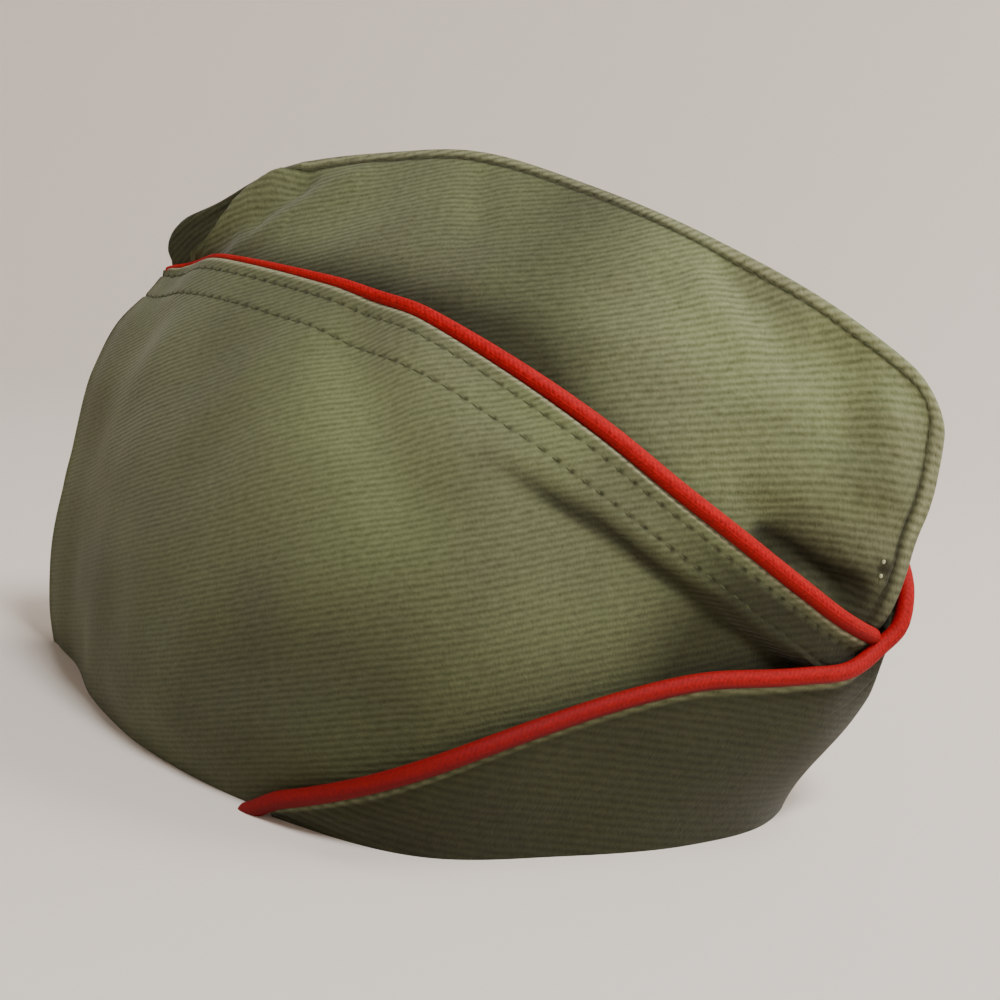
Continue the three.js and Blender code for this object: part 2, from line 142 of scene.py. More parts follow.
# Folds fade out at the seams, and the curtain's valleys press the crown in a little deeper
FOLD_FADE = 0.05
PRESSED = 1.2
# Millimetres between layers, between the two panels, and between a cord and its curtain
LAYER_GAP = 0.4
SEAM_GAP = 0.3
EDGE_GAP = -0.2
# The cord's thickness at the rear, as a share of the full one, and where it starts to grow
CORD_THIN = 0.42
CORD_THIN_TO = 0.14
CORD_FULL_FROM = 0.74
# How a curtain stands off: shares of its height, and where the left one crosses over the right
STAND_START = 0.05
STAND_FULL = 0.7
SOFT_FULL = 0.8
OVER_START = 0.8
OVER_FULL = 0.93
EDGE_ROLL = 0.36
ROLL_START = 0.9
ROLL_FULL = 0.97
ROLL_EASE = 1.01
ROLL_END = 1.05
# The crease under the right curtain's hem strip, which comes nearer the rim to the front
CREASE_SHARE = 0.83
CREASE_DROP = 0.08
CREASE_DROP_FROM = 0.7
CREASE_DROP_TO = 0.96
CREASE_WIDTH = 0.04
CREASE_START = 0.58
CREASE_FULL = 0.72
# Where the right curtain and its cord end under the left one
UNDERLAP_END = 1.04
CORD_TUCK = 0.985
# Where the tail meets the rim, and how its cord runs out there, by run, drop and height
TAIL_END = 1.5
TAIL_SEARCH = 1.3
TAIL_CUT = 13
TAIL_DROP = 1.15
TAIL_CORD_LOW = 1.1
# Places up the rear seam, as in the solids
CROWN_ROWS = (0, 0.09, 0.18, 0.27, 0.36, 0.45, 0.54, 0.63, 0.71, 0.78, 0.83, 0.87, 0.91, 0.95, 1)


def smoothstep(x, low, high):
    w = np.clip((x - low) / (high - low), 0, 1)
    return w * w * (3 - 2 * w)


def unit(v):
    return v / np.maximum(np.linalg.norm(v, axis=-1, keepdims=True), 1e-12)


def bell(x, middle, width):
    return np.exp(-((x - middle) / width) ** 2)


def fading(x, share, low, high):
    """A share that fades out as x goes from low to high."""
    return share * (1 - smoothstep(x, low, high))


def patch(x, share, middle, width):
    """A share that is full at one place and fades out on both sides of it."""
    return share * bell(x, middle, width)


def curve(rows, key, column, x):
    """The value at x on a smooth curve through a table's rows."""
    place = rows[key]
    value = rows[column]
    step = np.diff(place)
    rise = np.diff(value) / step
    inner = (step[1:] * rise[:-1] + step[:-1] * rise[1:]) / (step[1:] + step[:-1])
    slope = np.concatenate([[2 * rise[0] - inner[0]], inner, [2 * rise[-1] - inner[-1]]])
    x = np.clip(x, place[0], place[-1])
    i = np.clip(np.searchsorted(place, x, side="right") - 1, 0, len(step) - 1)
    w = (x - place[i]) / step[i]
    return ((1 + 2 * w) * (1 - w) ** 2 * value[i] + w * (1 - w) ** 2 * step[i] * slope[i]
            + w * w * (3 - 2 * w) * value[i + 1] + w * w * (w - 1) * step[i] * slope[i + 1])


def ripple(x, y, size, seed):
    """A smooth random field of about -1 to 1, with waves about size long."""
    rng = np.random.default_rng(seed)
    total = 0
    waves = 14
    for _ in range(waves):
        angle, phase, length = rng.uniform(0, 1, 3)
        length = size * (0.7 + 0.9 * length)
        turn = 2 * np.pi * angle
        total = total + np.sin(2 * np.pi * (x * np.cos(turn) + y * np.sin(turn)) / length
                               + 2 * np.pi * phase)
    return total / math.sqrt(waves)


class Form:
    """The cap's surface for one set of sizes, in millimetres, with the rim's rear at zero."""

    def __init__(self, sizes):
        self.rim_length = sizes.rim_length / MM
        self.rim_width = sizes.rim_width / MM
        self.ridge_length = sizes.ridge_length / MM
        self.ridge_height = sizes.ridge_height / MM
        self.ridge_lead = sizes.ridge_lead / MM
        self.crown_wall = sizes.crown_wall / MM
        self.curtain_wall = sizes.curtain_wall / MM
        self.cord = sizes.cord / MM
        self.flare = sizes.flare / MM
        self.cross_flare = sizes.cross_flare / MM
        self.rim_run = HALF_RUN * (self.rim_length + self.rim_width)
        low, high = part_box("crown_right")
        rows = np.array(CROWN_ROWS)
        rear = self.crown_face(-1, 0 * rows, rows)[:, 0].min()
        self.shift = np.array([low.x / MM - rear, high.y / MM + SEAM_GAP / 2, 0])

    def crown_face(self, side, s, t):
        """The outer face of a crown panel before its folds."""
        rear = 1 - smoothstep(s, 0, REAR_REACH)
        front = smoothstep(s, 1 - FRONT_REACH, 1)

        def blend(column):
            return (rear * curve(REAR, "t", column, t) + front * curve(FRONT, "t", column, t)
                    + (1 - rear - front) * curve(MIDDLE, "t", column, t))

        rim_x = self.rim_length * curve(RIM, "s", "along", s)
        ridge_x = self.ridge_lead + self.ridge_length * curve(RIDGE, "s", "along", s)
        return np.stack([
            rim_x + (ridge_x - rim_x) * blend("lean"),
            side * self.rim_width / 2 * curve(RIM, "s", "out", s) * (1 - blend("inward")),
            self.ridge_height * curve(RIDGE, "s", "height", s) * t], -1)

    def outward(self, side, s, t):
        """The outward direction there, which turns into the seam plane at the seams."""
        d = SHARE_STEP
        along = (self.crown_face(side, np.clip(s + d, 0, 1), t)
                 - self.crown_face(side, np.clip(s - d, 0, 1), t))
        up = (self.crown_face(side, s, np.clip(t + d, 0, 1))
              - self.crown_face(side, s, np.clip(t - d, 0, 1)))
        face = unit(np.cross(along, up) * -np.asarray(side)[..., None])
        front = smoothstep(s, 1 - FRONT_TURN, 1)[..., None]
        rear = 1 - smoothstep(s, 0, REAR_TURN)[..., None]
        seam = unit(np.stack([up[..., 2], 0 * up[..., 2], -up[..., 0]], -1))
        return unit(face * (1 - front - rear) + seam * (front - rear))

    def fold_depth(self, folds, s, t):
        """Millimetres that a table's folds stand out there together."""
        total = 0 * s
        for s0, t0, s1, t1, width, depth in zip(*[folds[name] for name in FOLD.split()]):
            run = np.array([(s1 - s0) * self.rim_run, (t1 - t0) * self.ridge_height])
            x = (s - s0) * self.rim_run
            y = (t - t0) * self.ridge_height
            share = np.clip((x * run[0] + y * run[1]) / (run @ run), 0, 1)
            away = np.hypot(x - run[0] * share, y - run[1] * share) / (width * self.ridge_height)
            total = total + depth * self.ridge_height * np.exp(-away ** 2)
        return total * smoothstep(s, 0, FOLD_FADE) * (1 - smoothstep(s, 1 - FOLD_FADE, 1))

    def curtain_depth(self, side, u, t):
        """How far a curtain's folds move it out, on whichever side it lies."""
        own = RIGHT_FOLDS if side < 0 else LEFT_FOLDS
        other = LEFT_FOLDS if side < 0 else RIGHT_FOLDS
        s = half_of(u)
        return np.where(u > 1, self.fold_depth(other, s, t), self.fold_depth(own, s, t))

    def place(self, side, u, t, off):
        """A place on the cap, off millimetres out from the crown's outer face."""
        on_side = np.where(u > 1, -side, side)
        s = half_of(u)
        direction = self.outward(on_side, s, t)
        direction[..., 2] *= smoothstep(t, 0, LEVEL_RIM)
        return self.crown_face(on_side, s, t) + direction * np.asarray(off)[..., None]

    def ridge_z(self, u):
        return self.ridge_height * curve(RIDGE, "s", "height", half_of(u))

    def cord_z(self, edge, u):
        return curve(edge, "u", "height", u) * self.ridge_z(u)

    def below_cord(self, edge, u, distance):
        """t at a distance below the cord's centre line, square to its run."""
        d = RUN_STEP
        slope = (self.cord_z(edge, u + d) - self.cord_z(edge, u - d)) / (2 * d * self.rim_run)
        return (self.cord_z(edge, u) - distance * np.hypot(1, slope)) / self.ridge_z(u)

    def cord_radius(self, u):
        """The cord thins to the rear, where the curtain's edge rolls over it."""
        grown = smoothstep(u, CORD_THIN_TO, CORD_FULL_FROM)
        return self.cord / 2 * (CORD_THIN + (1 - CORD_THIN) * grown)

    def edge_share(self, edge, u):
        """t of a curtain's cloth edge, which its cord sits on."""
        t = curve(edge, "u", "height", u)
        d = RUN_STEP
        rise = self.crown_face(-1, half_of(u), t + d) - self.crown_face(-1, half_of(u), t - d)
        lean = np.linalg.norm(rise, axis=-1) / rise[..., 2]
        return self.below_cord(edge, u, (self.cord_radius(u) + EDGE_GAP) / lean)

    def right_inner(self, u, t):
        """How far the right curtain's inner face stands off the crown."""
        share = np.minimum(t / self.edge_share(RIGHT_EDGE, u), 1)
        crease = smoothstep(half_of(u), CREASE_START, CREASE_FULL)
        soft = smoothstep(share, 0, SOFT_FULL)
        fold = crease_share(half_of(u))
        sharp = smoothstep(share, fold, fold + CREASE_WIDTH)
        stand = self.flare * curve(RIGHT_STAND, "u", "off", u)
        return LAYER_GAP + stand * (soft + (sharp - soft) * crease)

    def left_inner(self, u, t):
        """How far the left curtain's inner face stands off the crown, over the right one in front."""
        share = np.clip(t / self.edge_share(LEFT_EDGE, u), 0, 1)
        over = smoothstep(u, OVER_START, OVER_FULL)
        stand = self.cross_flare * curve(LEFT_STAND, "u", "off", u)
        at_front = smoothstep(u, ROLL_START, ROLL_FULL) * (1 - smoothstep(u, ROLL_EASE, ROLL_END))
        roll = EDGE_ROLL * at_front * smoothstep(share, STAND_FULL, 1)
        return (LAYER_GAP + (self.curtain_wall + LAYER_GAP) * over
                + stand * (smoothstep(share, STAND_START, STAND_FULL) - roll))


def half_of(u):
    """s for u, on either side of the front seam."""
    return np.where(u > 1, 2 - u, u)


def crease_share(s):
    """Where the right curtain's hem strip creases, as a share of the curtain's height."""
    return CREASE_SHARE - CREASE_DROP * smoothstep(s, CREASE_DROP_FROM, CREASE_DROP_TO)


def behind_bulge(form, s, t):
    """Millimetres in front of the line behind which the rear tab lies, and along that line."""
    (s0, t0), (s1, t1) = TAB_LINE
    run = np.array([(s1 - s0) * form.rim_run, (t1 - t0) * form.ridge_height])
    run /= np.linalg.norm(run)
    x = (s - s0) * form.rim_run
    y = (t - t0) * form.ridge_height
    return run[0] * y - run[1] * x, run[0] * x + run[1] * y


def keep_own_side(points, side):
    points[..., 1] = side * np.maximum(side * points[..., 1], SEAM_GAP / 2)
    return points


# Meshes


def arc(points, axis):
    """Length along one axis of a grid of points, from its first row."""
    step = np.linalg.norm(np.diff(points, axis=axis), axis=-1)
    start = np.zeros_like(np.take(step, [0], axis=axis))
    return np.concatenate([start, np.cumsum(step, axis=axis)], axis=axis)


def face_normals(grid, side):
    """Unit normals of a grid of points, on the outer side."""
    along, up = np.gradient(grid, axis=0), np.gradient(grid, axis=1)
    return unit(np.cross(along, up)) * -side


def corner_distance(a, b, radius):
    """Distance inside two edges that meet in a rounded corner, from the distance to each."""
    near = np.hypot(radius - np.minimum(a, radius), radius - np.minimum(b, radius))
    return np.where((a < radius) & (b < radius), radius - near, np.minimum(a, b))


def sample(grid, column, row):
    """Points of a grid at fractional columns and rows."""
    i = np.clip(np.floor(column).astype(int), 0, grid.shape[0] - 2)
    j = np.clip(np.floor(row).astype(int), 0, grid.shape[1] - 2)
    x = (column - i)[:, None]
    y = (row - j)[:, None]
    return ((1 - x) * (1 - y) * grid[i, j] + x * (1 - y) * grid[i + 1, j]
            + (1 - x) * y * grid[i, j + 1] + x * y * grid[i + 1, j + 1])


def smooth_path(path, spread):
    """A path of even steps, smoothed over some steps on each side."""
    reach = int(3 * spread)
    weights = bell(np.arange(-reach, reach + 1), 0, spread)
    weights /= weights.sum()
    start = 2 * path[0] - path[reach:0:-1]
    finish = 2 * path[-1] - path[-2:-reach - 2:-1]
    longer = np.concatenate([start, path, finish])
    return np.stack([np.convolve(longer[:, i], weights, "valid") for i in range(3)], -1)


def link_mesh(name, points, faces, uv, attributes, material):
    """A smooth mesh piece in metres, with a uv and float attributes for each vertex."""
    mesh = bpy.data.meshes.new(name)
    mesh.from_pydata((points * MM).tolist(), [], faces)
    corner = np.zeros(len(mesh.loops), int)
    mesh.loops.foreach_get("vertex_index", corner)
    layer = mesh.uv_layers.new(name="cloth")
    layer.data.foreach_set("uv", (uv * MM)[corner].astype(np.float32).ravel())
    for key, value in attributes.items():
        mesh.attributes.new(key, "FLOAT", "POINT").data.foreach_set(
            "value", value.astype(np.float32).ravel())
    mesh.shade_smooth()
    mesh.set_sharp_from_angle(angle=math.radians(50))
    mesh.materials.append(material)
    mesh.validate()
    piece = bpy.data.objects.new(name, mesh)
    bpy.context.scene.collection.objects.link(piece)
    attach(piece, "root")
    return piece


# Inside, the cloth isn't worn pale, and is dark all over
INSIDE = {"worn": 0, "soil_and_shade": 0.8}


def wall_piece(name, outer, inner, uv, attributes, flip, material):
    """A closed wall between two grids of points."""
    n, m = outer.shape[:2]
    ids = np.arange(n * m).reshape(n, m)
    far = ids + n * m
    quads = [
        np.stack([ids[:-1, :-1], ids[1:, :-1], ids[1:, 1:], ids[:-1, 1:]], -1).reshape(-1, 4),
        np.stack([far[:-1, :-1], far[:-1, 1:], far[1:, 1:], far[1:, :-1]], -1).reshape(-1, 4),
        np.stack([far[:-1, 0], far[1:, 0], ids[1:, 0], ids[:-1, 0]], -1),
        np.stack([ids[:-1, -1], ids[1:, -1], far[1:, -1], far[:-1, -1]], -1),
        np.stack([far[0, :-1], ids[0, :-1], ids[0, 1:], far[0, 1:]], -1),
        np.stack([ids[-1, :-1], far[-1, :-1], far[-1, 1:], ids[-1, 1:]], -1)]
    faces = np.concatenate(quads)
    if flip:
        faces = faces[:, ::-1]
    points = np.concatenate([outer.reshape(-1, 3), inner.reshape(-1, 3)])
    doubled = {key: np.concatenate([value.ravel(), 0 * value.ravel() + INSIDE[key]])
               for key, value in attributes.items()}
    both = np.concatenate([uv.reshape(-1, 2)] * 2)
    return link_mesh(name, points, faces.tolist(), both, doubled, material)


def tube_piece(name, path, radius, soil_and_shade, sides, material):
    """A closed round tube along a path over the floor, with its u along it and its v around it."""
    tangent = unit(np.gradient(path, axis=0))
    across = unit(np.cross(tangent, np.array([0.0, 0.0, 1.0])))
    upward = np.cross(across, tangent)
    angle = np.linspace(0, 2 * np.pi, sides, endpoint=False)
    ring = (np.cos(angle)[None, :, None] * across[:, None] + np.sin(angle)[None, :, None]
            * upward[:, None])
    points = path[:, None] + ring * np.broadcast_to(radius, len(path))[:, None, None]
    points[..., 2] = np.maximum(points[..., 2], 0)
    n = len(path)
    ids = np.arange(n * sides).reshape(n, sides)
    turn = np.roll(ids, -1, axis=1)
    faces = np.stack([ids[:-1], turn[:-1], turn[1:], ids[1:]], -1).reshape(-1, 4)
    closed = faces[:, ::-1].tolist() + [ids[0].tolist(), ids[-1][::-1].tolist()]
    run = arc(path, 0)
    uv = np.stack([np.repeat(run, sides), np.tile(angle, n) / (2 * np.pi) / MM], -1)
    values = {"around": np.tile(angle, n) / (2 * np.pi), "soil_and_shade": np.repeat(soil_and_shade, sides)}
    return link_mesh(name, points.reshape(-1, 3), closed, uv, values, material)


# Looks


def linear(hexcode):
    """The linear RGBA of an sRGB hex colour."""
    parts = [int(hexcode[i:i + 2], 16) / 255 for i in (1, 3, 5)]
    return tuple(c / 12.92 if c <= 0.04045 else ((c + 0.055) / 1.055) ** 2.4
                 for c in parts) + (1.0,)


def add(tree, kind, inputs=None, **settings):
    """A node with its settings, and its inputs set to values or linked to sockets."""
    made = tree.nodes.new(kind)
    for name, value in settings.items():
        setattr(made, name, value)
    for key, value in (inputs or {}).items():
        if isinstance(value, bpy.types.NodeSocket):
            tree.links.new(value, made.inputs[key])
        else:
            made.inputs[key].default_value = value
    return made


def new_material(name):
    material = bpy.data.materials.new(name)
    material.use_nodes = True
    material.node_tree.nodes.clear()
    return material, material.node_tree


def cotton_repp(name, rib, groove, pale, pitch):
    """Washed cotton repp: soft ribs of thick weft yarn, with slubs, worn pale on the edges."""
    material, tree = new_material(name)
    uv = add(tree, "ShaderNodeUVMap", uv_map="cloth").outputs[0]
    place = add(tree, "ShaderNodeTexCoord").outputs["Object"]
    split = add(tree, "ShaderNodeSeparateXYZ", {0: uv})
    # Yarns wander a little, over about 9 mm along the rib
    wander_at = add(tree, "ShaderNodeMapping", {"Vector": uv, "Scale": (1 / 0.009, 1 / 0.005, 1)})
    wander = add(tree, "ShaderNodeTexNoise", {"Vector": wander_at.outputs[0], "Scale": 1.0,
                                              "Detail": 2.0})
    ribs = add(tree, "ShaderNodeMath", {0: split.outputs["Y"], 1: 2 * math.pi / pitch},
               operation="MULTIPLY")
    phase = add(tree, "ShaderNodeMath", {0: wander.outputs["Fac"], 1: 2.6, 2: ribs.outputs[0]},
                operation="MULTIPLY_ADD")
    wave = add(tree, "ShaderNodeMath", {0: phase.outputs[0]}, operation="SINE")
    height = add(tree, "ShaderNodeMapRange", {"Value": wave.outputs[0], "From Min": -1.0})
    # Slubs: yarn thickness and shade change every few millimetres, rib by rib
    slub_at = add(tree, "ShaderNodeMapping",
                  {"Vector": uv, "Scale": (1 / 0.0024, 1 / pitch, 1)})
    slub = add(tree, "ShaderNodeTexNoise", {"Vector": slub_at.outputs[0], "Scale": 1.0,
                                            "Detail": 3.0, "Roughness": 0.6})
    # Fine warp threads cross the ribs, drawn about twice as coarse as real ones so that they show
    thread_at = add(tree, "ShaderNodeMapping",
                    {"Vector": uv, "Scale": (1 / 0.0006, 1 / 0.0009, 1)})
    thread = add(tree, "ShaderNodeTexNoise", {"Vector": thread_at.outputs[0], "Scale": 1.0,
                                              "Detail": 1.0})
    shade = add(tree, "ShaderNodeMath", {0: height.outputs[0], 1: 0.4}, operation="MULTIPLY")
    shade = add(tree, "ShaderNodeMath", {0: slub.outputs["Fac"], 1: 0.95, 2: shade.outputs[0]},
                operation="MULTIPLY_ADD")
    shade = add(tree, "ShaderNodeMath", {0: thread.outputs["Fac"], 1: 0.55, 2: shade.outputs[0]},
                operation="MULTIPLY_ADD")
    lit = add(tree, "ShaderNodeMapRange", {"Value": shade.outputs[0], "From Min": 0.45,
                                           "From Max": 1.45})
    weave = add(tree, "ShaderNodeMix", {0: lit.outputs[0], 6: groove, 7: rib}, data_type="RGBA")
    # Soft old stains some centimetres wide, brownish and yellowish
    stain = add(tree, "ShaderNodeTexNoise", {"Vector": place, "Scale": 24.0, "Detail": 3.0})
    stain_hue = add(tree, "ShaderNodeMapRange", {"Value": stain.outputs["Fac"], "From Min": 0.38,
                                                 "From Max": 0.62})
    tint = add(tree, "ShaderNodeMix", {0: stain_hue.outputs[0], 6: linear("#cfc6bb"),
                                       7: linear("#eef0cf")}, data_type="RGBA")
    stained = add(tree, "ShaderNodeMix", {0: 0.6, 6: weave.outputs[2], 7: tint.outputs[2]},
                  data_type="RGBA", blend_type="MULTIPLY")
    # Darkened brown by the soil_and_shade attribute: grime, and painted shade in hollows, creases and
    # needle holes, to the rear, low down and to the front
    soil_and_shade = add(tree, "ShaderNodeAttribute", attribute_name="soil_and_shade").outputs["Fac"]
    soiled_and_shaded = add(tree, "ShaderNodeMix", {0: soil_and_shade, 6: stained.outputs[2], 7: linear("#75706a")},
                 data_type="RGBA", blend_type="MULTIPLY")
    # Worn pale on the ribs' tops along the edges
    worn = add(tree, "ShaderNodeAttribute", attribute_name="worn").outputs["Fac"]
    rubbed = add(tree, "ShaderNodeMath", {0: lit.outputs[0], 1: 1.3, 2: 0.05},
                 operation="MULTIPLY_ADD")
    rubbed = add(tree, "ShaderNodeMath", {0: rubbed.outputs[0], 1: worn}, operation="MULTIPLY")
    faded = add(tree, "ShaderNodeMix", {0: rubbed.outputs[0], 6: soiled_and_shaded.outputs[2], 7: pale},
                data_type="RGBA")
    bump = add(tree, "ShaderNodeBump", {"Height": shade.outputs[0], "Strength": 0.7,
                                        "Distance": 0.0003})
    cloth = add(tree, "ShaderNodeBsdfPrincipled",
                {"Base Color": faded.outputs[2], "Roughness": 0.94, "Sheen Weight": 0.12,
                 "Sheen Roughness": 0.5, "Specular IOR Level": 0.15,
                 "Normal": bump.outputs[0]})
    add(tree, "ShaderNodeOutputMaterial", {"Surface": cloth.outputs[0]})
    return material


def braid(name, bright, dark, pick):
    """Rayon braid: smooth, with faint slanting picks and a shallow valley along each face."""
    material, tree = new_material(name)
    uv = add(tree, "ShaderNodeUVMap", uv_map="cloth").outputs[0]
    place = add(tree, "ShaderNodeTexCoord").outputs["Object"]
    split = add(tree, "ShaderNodeSeparateXYZ", {0: uv})
    around = add(tree, "ShaderNodeAttribute", attribute_name="around").outputs["Fac"]
    lean = add(tree, "ShaderNodeMath", {0: around, 1: 8.0}, operation="MULTIPLY")
    fold = add(tree, "ShaderNodeMath", {0: lean.outputs[0], 1: 2.0}, operation="PINGPONG")
    along = add(tree, "ShaderNodeMath", {0: split.outputs["X"], 1: 1 / pick, 2: fold.outputs[0]},
                operation="MULTIPLY_ADD")
    turn = add(tree, "ShaderNodeMath", {0: along.outputs[0], 1: 2 * math.pi},
               operation="MULTIPLY")
    wave = add(tree, "ShaderNodeMath", {0: turn.outputs[0]}, operation="SINE")
    row = add(tree, "ShaderNodeMath", {0: around, 1: 4 * math.pi}, operation="MULTIPLY")
    face = add(tree, "ShaderNodeMath", {0: row.outputs[0]}, operation="COSINE")
    valley = add(tree, "ShaderNodeMapRange", {"Value": face.outputs[0], "From Min": 0.82,
                                              "To Max": 0.35}, interpolation_type="SMOOTHSTEP")
    # Filaments, drawn coarser than real ones so that they show
    grain = add(tree, "ShaderNodeTexNoise", {"Vector": place, "Scale": 1400.0, "Detail": 2.0})
    height = add(tree, "ShaderNodeMath", {0: grain.outputs["Fac"], 1: 2.2},
                 operation="MULTIPLY")
    height = add(tree, "ShaderNodeMath", {0: wave.outputs[0], 1: 0.2, 2: height.outputs[0]},
                 operation="MULTIPLY_ADD")
    height = add(tree, "ShaderNodeMath", {0: height.outputs[0], 1: valley.outputs[0]},
                 operation="SUBTRACT")
    lit = add(tree, "ShaderNodeMapRange", {"Value": height.outputs[0], "From Min": -0.1,
                                           "From Max": 1.9})
    colour = add(tree, "ShaderNodeMix", {0: lit.outputs[0], 6: dark, 7: bright},
                 data_type="RGBA")
    # Painted shade along its underside, and grime and painted shade on the tail and the front from
    # the soil_and_shade attribute
    turned = add(tree, "ShaderNodeMath", {0: around, 1: 2 * math.pi}, operation="MULTIPLY")
    upward = add(tree, "ShaderNodeMath", {0: turned.outputs[0]}, operation="SINE")
    under = add(tree, "ShaderNodeMapRange", {"Value": upward.outputs[0], "From Min": 0.05,
                                             "From Max": -0.8, "To Max": 0.62},
                interpolation_type="SMOOTHSTEP")
    soil_and_shade = add(tree, "ShaderNodeAttribute", attribute_name="soil_and_shade").outputs["Fac"]
    shade_and_grime = add(tree, "ShaderNodeMath", {0: under.outputs[0], 1: soil_and_shade}, operation="ADD",
                use_clamp=True)
    colour = add(tree, "ShaderNodeMix", {0: shade_and_grime.outputs[0], 6: colour.outputs[2], 7: dark},
                 data_type="RGBA")
    bump = add(tree, "ShaderNodeBump", {"Height": lit.outputs[0], "Strength": 0.45,
                                        "Distance": 0.0002})
    cord = add(tree, "ShaderNodeBsdfPrincipled",
               {"Base Color": colour.outputs[2], "Roughness": 0.7,
                "Specular IOR Level": 0.2, "Normal": bump.outputs[0]})
    add(tree, "ShaderNodeOutputMaterial", {"Surface": cord.outputs[0]})
    return material


def cotton_thread(name, colour):
    """Matt cotton sewing thread."""
    material, tree = new_material(name)
    thread = add(tree, "ShaderNodeBsdfPrincipled", {"Base Color": colour, "Roughness": 0.85,
                                                    "Specular IOR Level": 0.2})
    add(tree, "ShaderNodeOutputMaterial", {"Surface": thread.outputs[0]})
    return material


def matt_paper(name, colour):
    """Matt studio paper for the floor and the backdrop."""
    material, tree = new_material(name)
    paper = add(tree, "ShaderNodeBsdfPrincipled", {"Base Color": colour, "Roughness": 0.95,
                                                   "Specular IOR Level": 0.1})
    add(tree, "ShaderNodeOutputMaterial", {"Surface": paper.outputs[0]})
    return material


def material_of(name, maker, *values):
    """The material of that name, made once."""
    return bpy.data.materials.get(name) or maker(name, *values)


# Pieces

# Rows of the crown, by their distance below the ridge in millimetres: close at the seam's welt
RIDGE_ROWS = (0, 0.3, 0.7, 1.2, 1.7, 2.2, 2.6, 2.9, 3.2, 3.5, 4, 4.5, 5.1, 5.8, 6.6, 7.5, 8.5, 10)
PANEL_ROWS = 100
# Columns close to the front seam and the rear seam, by distance along the rim
SEAM_COLUMNS = (0, 0.4, 1, 1.7, 2.4, 3.1, 3.8, 4.5, 5.2, 6, 6.8, 7.7, 8.7, 10, 12)
PANEL_COLUMNS = 190
# The ridge and front seams: a welt of turned cloth, then a groove with the topstitching
WELT = 0.45
WELT_WIDTH = 2.9
GROOVE = 0.5
GROOVE_AT = 3.2
GROOVE_WIDTH = 0.45
# The front seam's welt is wider than the ridge's by the inverse of this
FRONT_SEAM = 0.7
# Radius of the crown's corners, and of the turned cloth at a seam, in millimetres
CORNER = 8
SEAM_ROUND = 1.2
# The crown bulges over its rear tab, in front of a line from one place (s, t) to another
TAB_LINE = ((0.23, 0.99), (0.06, 0.895))
# The bulge's depth, how far it reaches forward, and its edge's half width, in millimetres, then
# where it starts and is full along that line
BULGE = 5
BULGE_REACH = 9
BULGE_EDGE = 1.8
BULGE_START = -4
BULGE_FULL = 6
# The front seam's lower end stands out to the cord that crosses it: how far, from which s on, and
# the t between which it grows, is full and has faded
WELT_OUT = 4.4
FOOT_FROM = 0.9
FOOT_LOW = 0.38
FOOT_FULL = 0.5
FOOT_HIGH = 0.72
# Folds fade out over this many millimetres below the ridge seam
RIDGE_FADE = 9
# How far over the curtain's edge, in t, the crown starts to show and its folds start and are full
SHOW_FROM = -0.03
SHOW_FULL = 0.02
BULGE_CLEAR = 0.03
BARE_FROM = 0.05
BARE_FULL = 0.13
# Unevenness of hand-pressed cloth: its depth and its waves' length in millimetres
CROWN_WAVES = (0.35, 22)
CURTAIN_WAVES = (0.3, 26)
# Where the topstitching starts on the ridge, as a column of the grid
SEWN_FROM = 46
# Darkened places on the right side of the crown, listed like folds, with the darkening as depth: the
# hollow over the cord (painted shadow), the foot of the front seam, and a needle hole (painted shade)
DARKENED_PLACES = table(
    FOLD,
    (0.875, 0.57, 0.963, 0.529, 0.022, 0.95), (0.965, 0.55, 0.985, 0.53, 0.035, 0.6),
    (0.974, 0.606, 0.9745, 0.594, 0.008, 3))
# Two pale threads beside that hole
BAR_TACK = ((0.972, 0.613), (0.9745, 0.586))
# Half the cloth's thickness where the two panels lie together at a seam
SEAM_HALF = 0.9

# How much the crown's cloth is worn pale, at which distance from a seam and how wide. It starts in
# front of the rear tab, and the front seam's foot is spared by a share, up to some t
SEAM_WORN = (0.32, 1.3, 1.3)
WORN_FROM = (-2, 2)
FOOT_SPARED = 0.8
FOOT_SPARED_TO = (0.56, 0.74)
# Darkening on the crown: painted shade to the rear, over the cord, low at the front, on the rear tab
# and in the groove. The first number is how much. The others are the s, t or millimetres between
# which it fades out, or the middle and the width of a patch
REAR_SHADE = (0.42, 0.58, 0.78)
LOW_DARKENING = (0.28, 0.74, 0.84)
SIDE_DARKENING = (0.26, 0.62, 0.09)
OVER_CORD_SHADE = (0.35, 2, 7)
# Painted shadow of the bulge on the rear tab
TAB_SHADOW = (0.5, -2, 0.5)
# Painted shade in the seams' groove
GROOVE_SHADE = (0.8, GROOVE_AT, 0.6)
# Painted shade low at the front: how much, from which s on, and how many millimetres over the cord
FRONT_SHADE = 0.3
FRONT_SHADE_FROM = (0.8, 1)
FRONT_SHADE_TO = (5, 30)

# How the ribs run: their slope to the rim, by u, and how they fan out towards the front
CURTAIN_GRAIN = table(
    "u slope",
    (0, 0.33), (0.35, 0.34), (0.43, 0.35), (0.5, 0.3), (0.57, 0.25), (0.64, 0.18), (0.7, 0.1),
    (0.8, 0.1), (1, 0.12))
CROWN_GRAIN = table(
    "u slope", (0, 0.3), (0.5, 0.3), (0.6, 0.22), (0.7, 0.06), (0.8, 0.03), (0.9, -0.02),
    (1, -0.05))
CURTAIN_FAN = (0.0015, 140, 0.93)
CROWN_FAN = (0.001, 190, 0.72)
# How the warp leans on the ribs
WARP_LEAN = 0.35


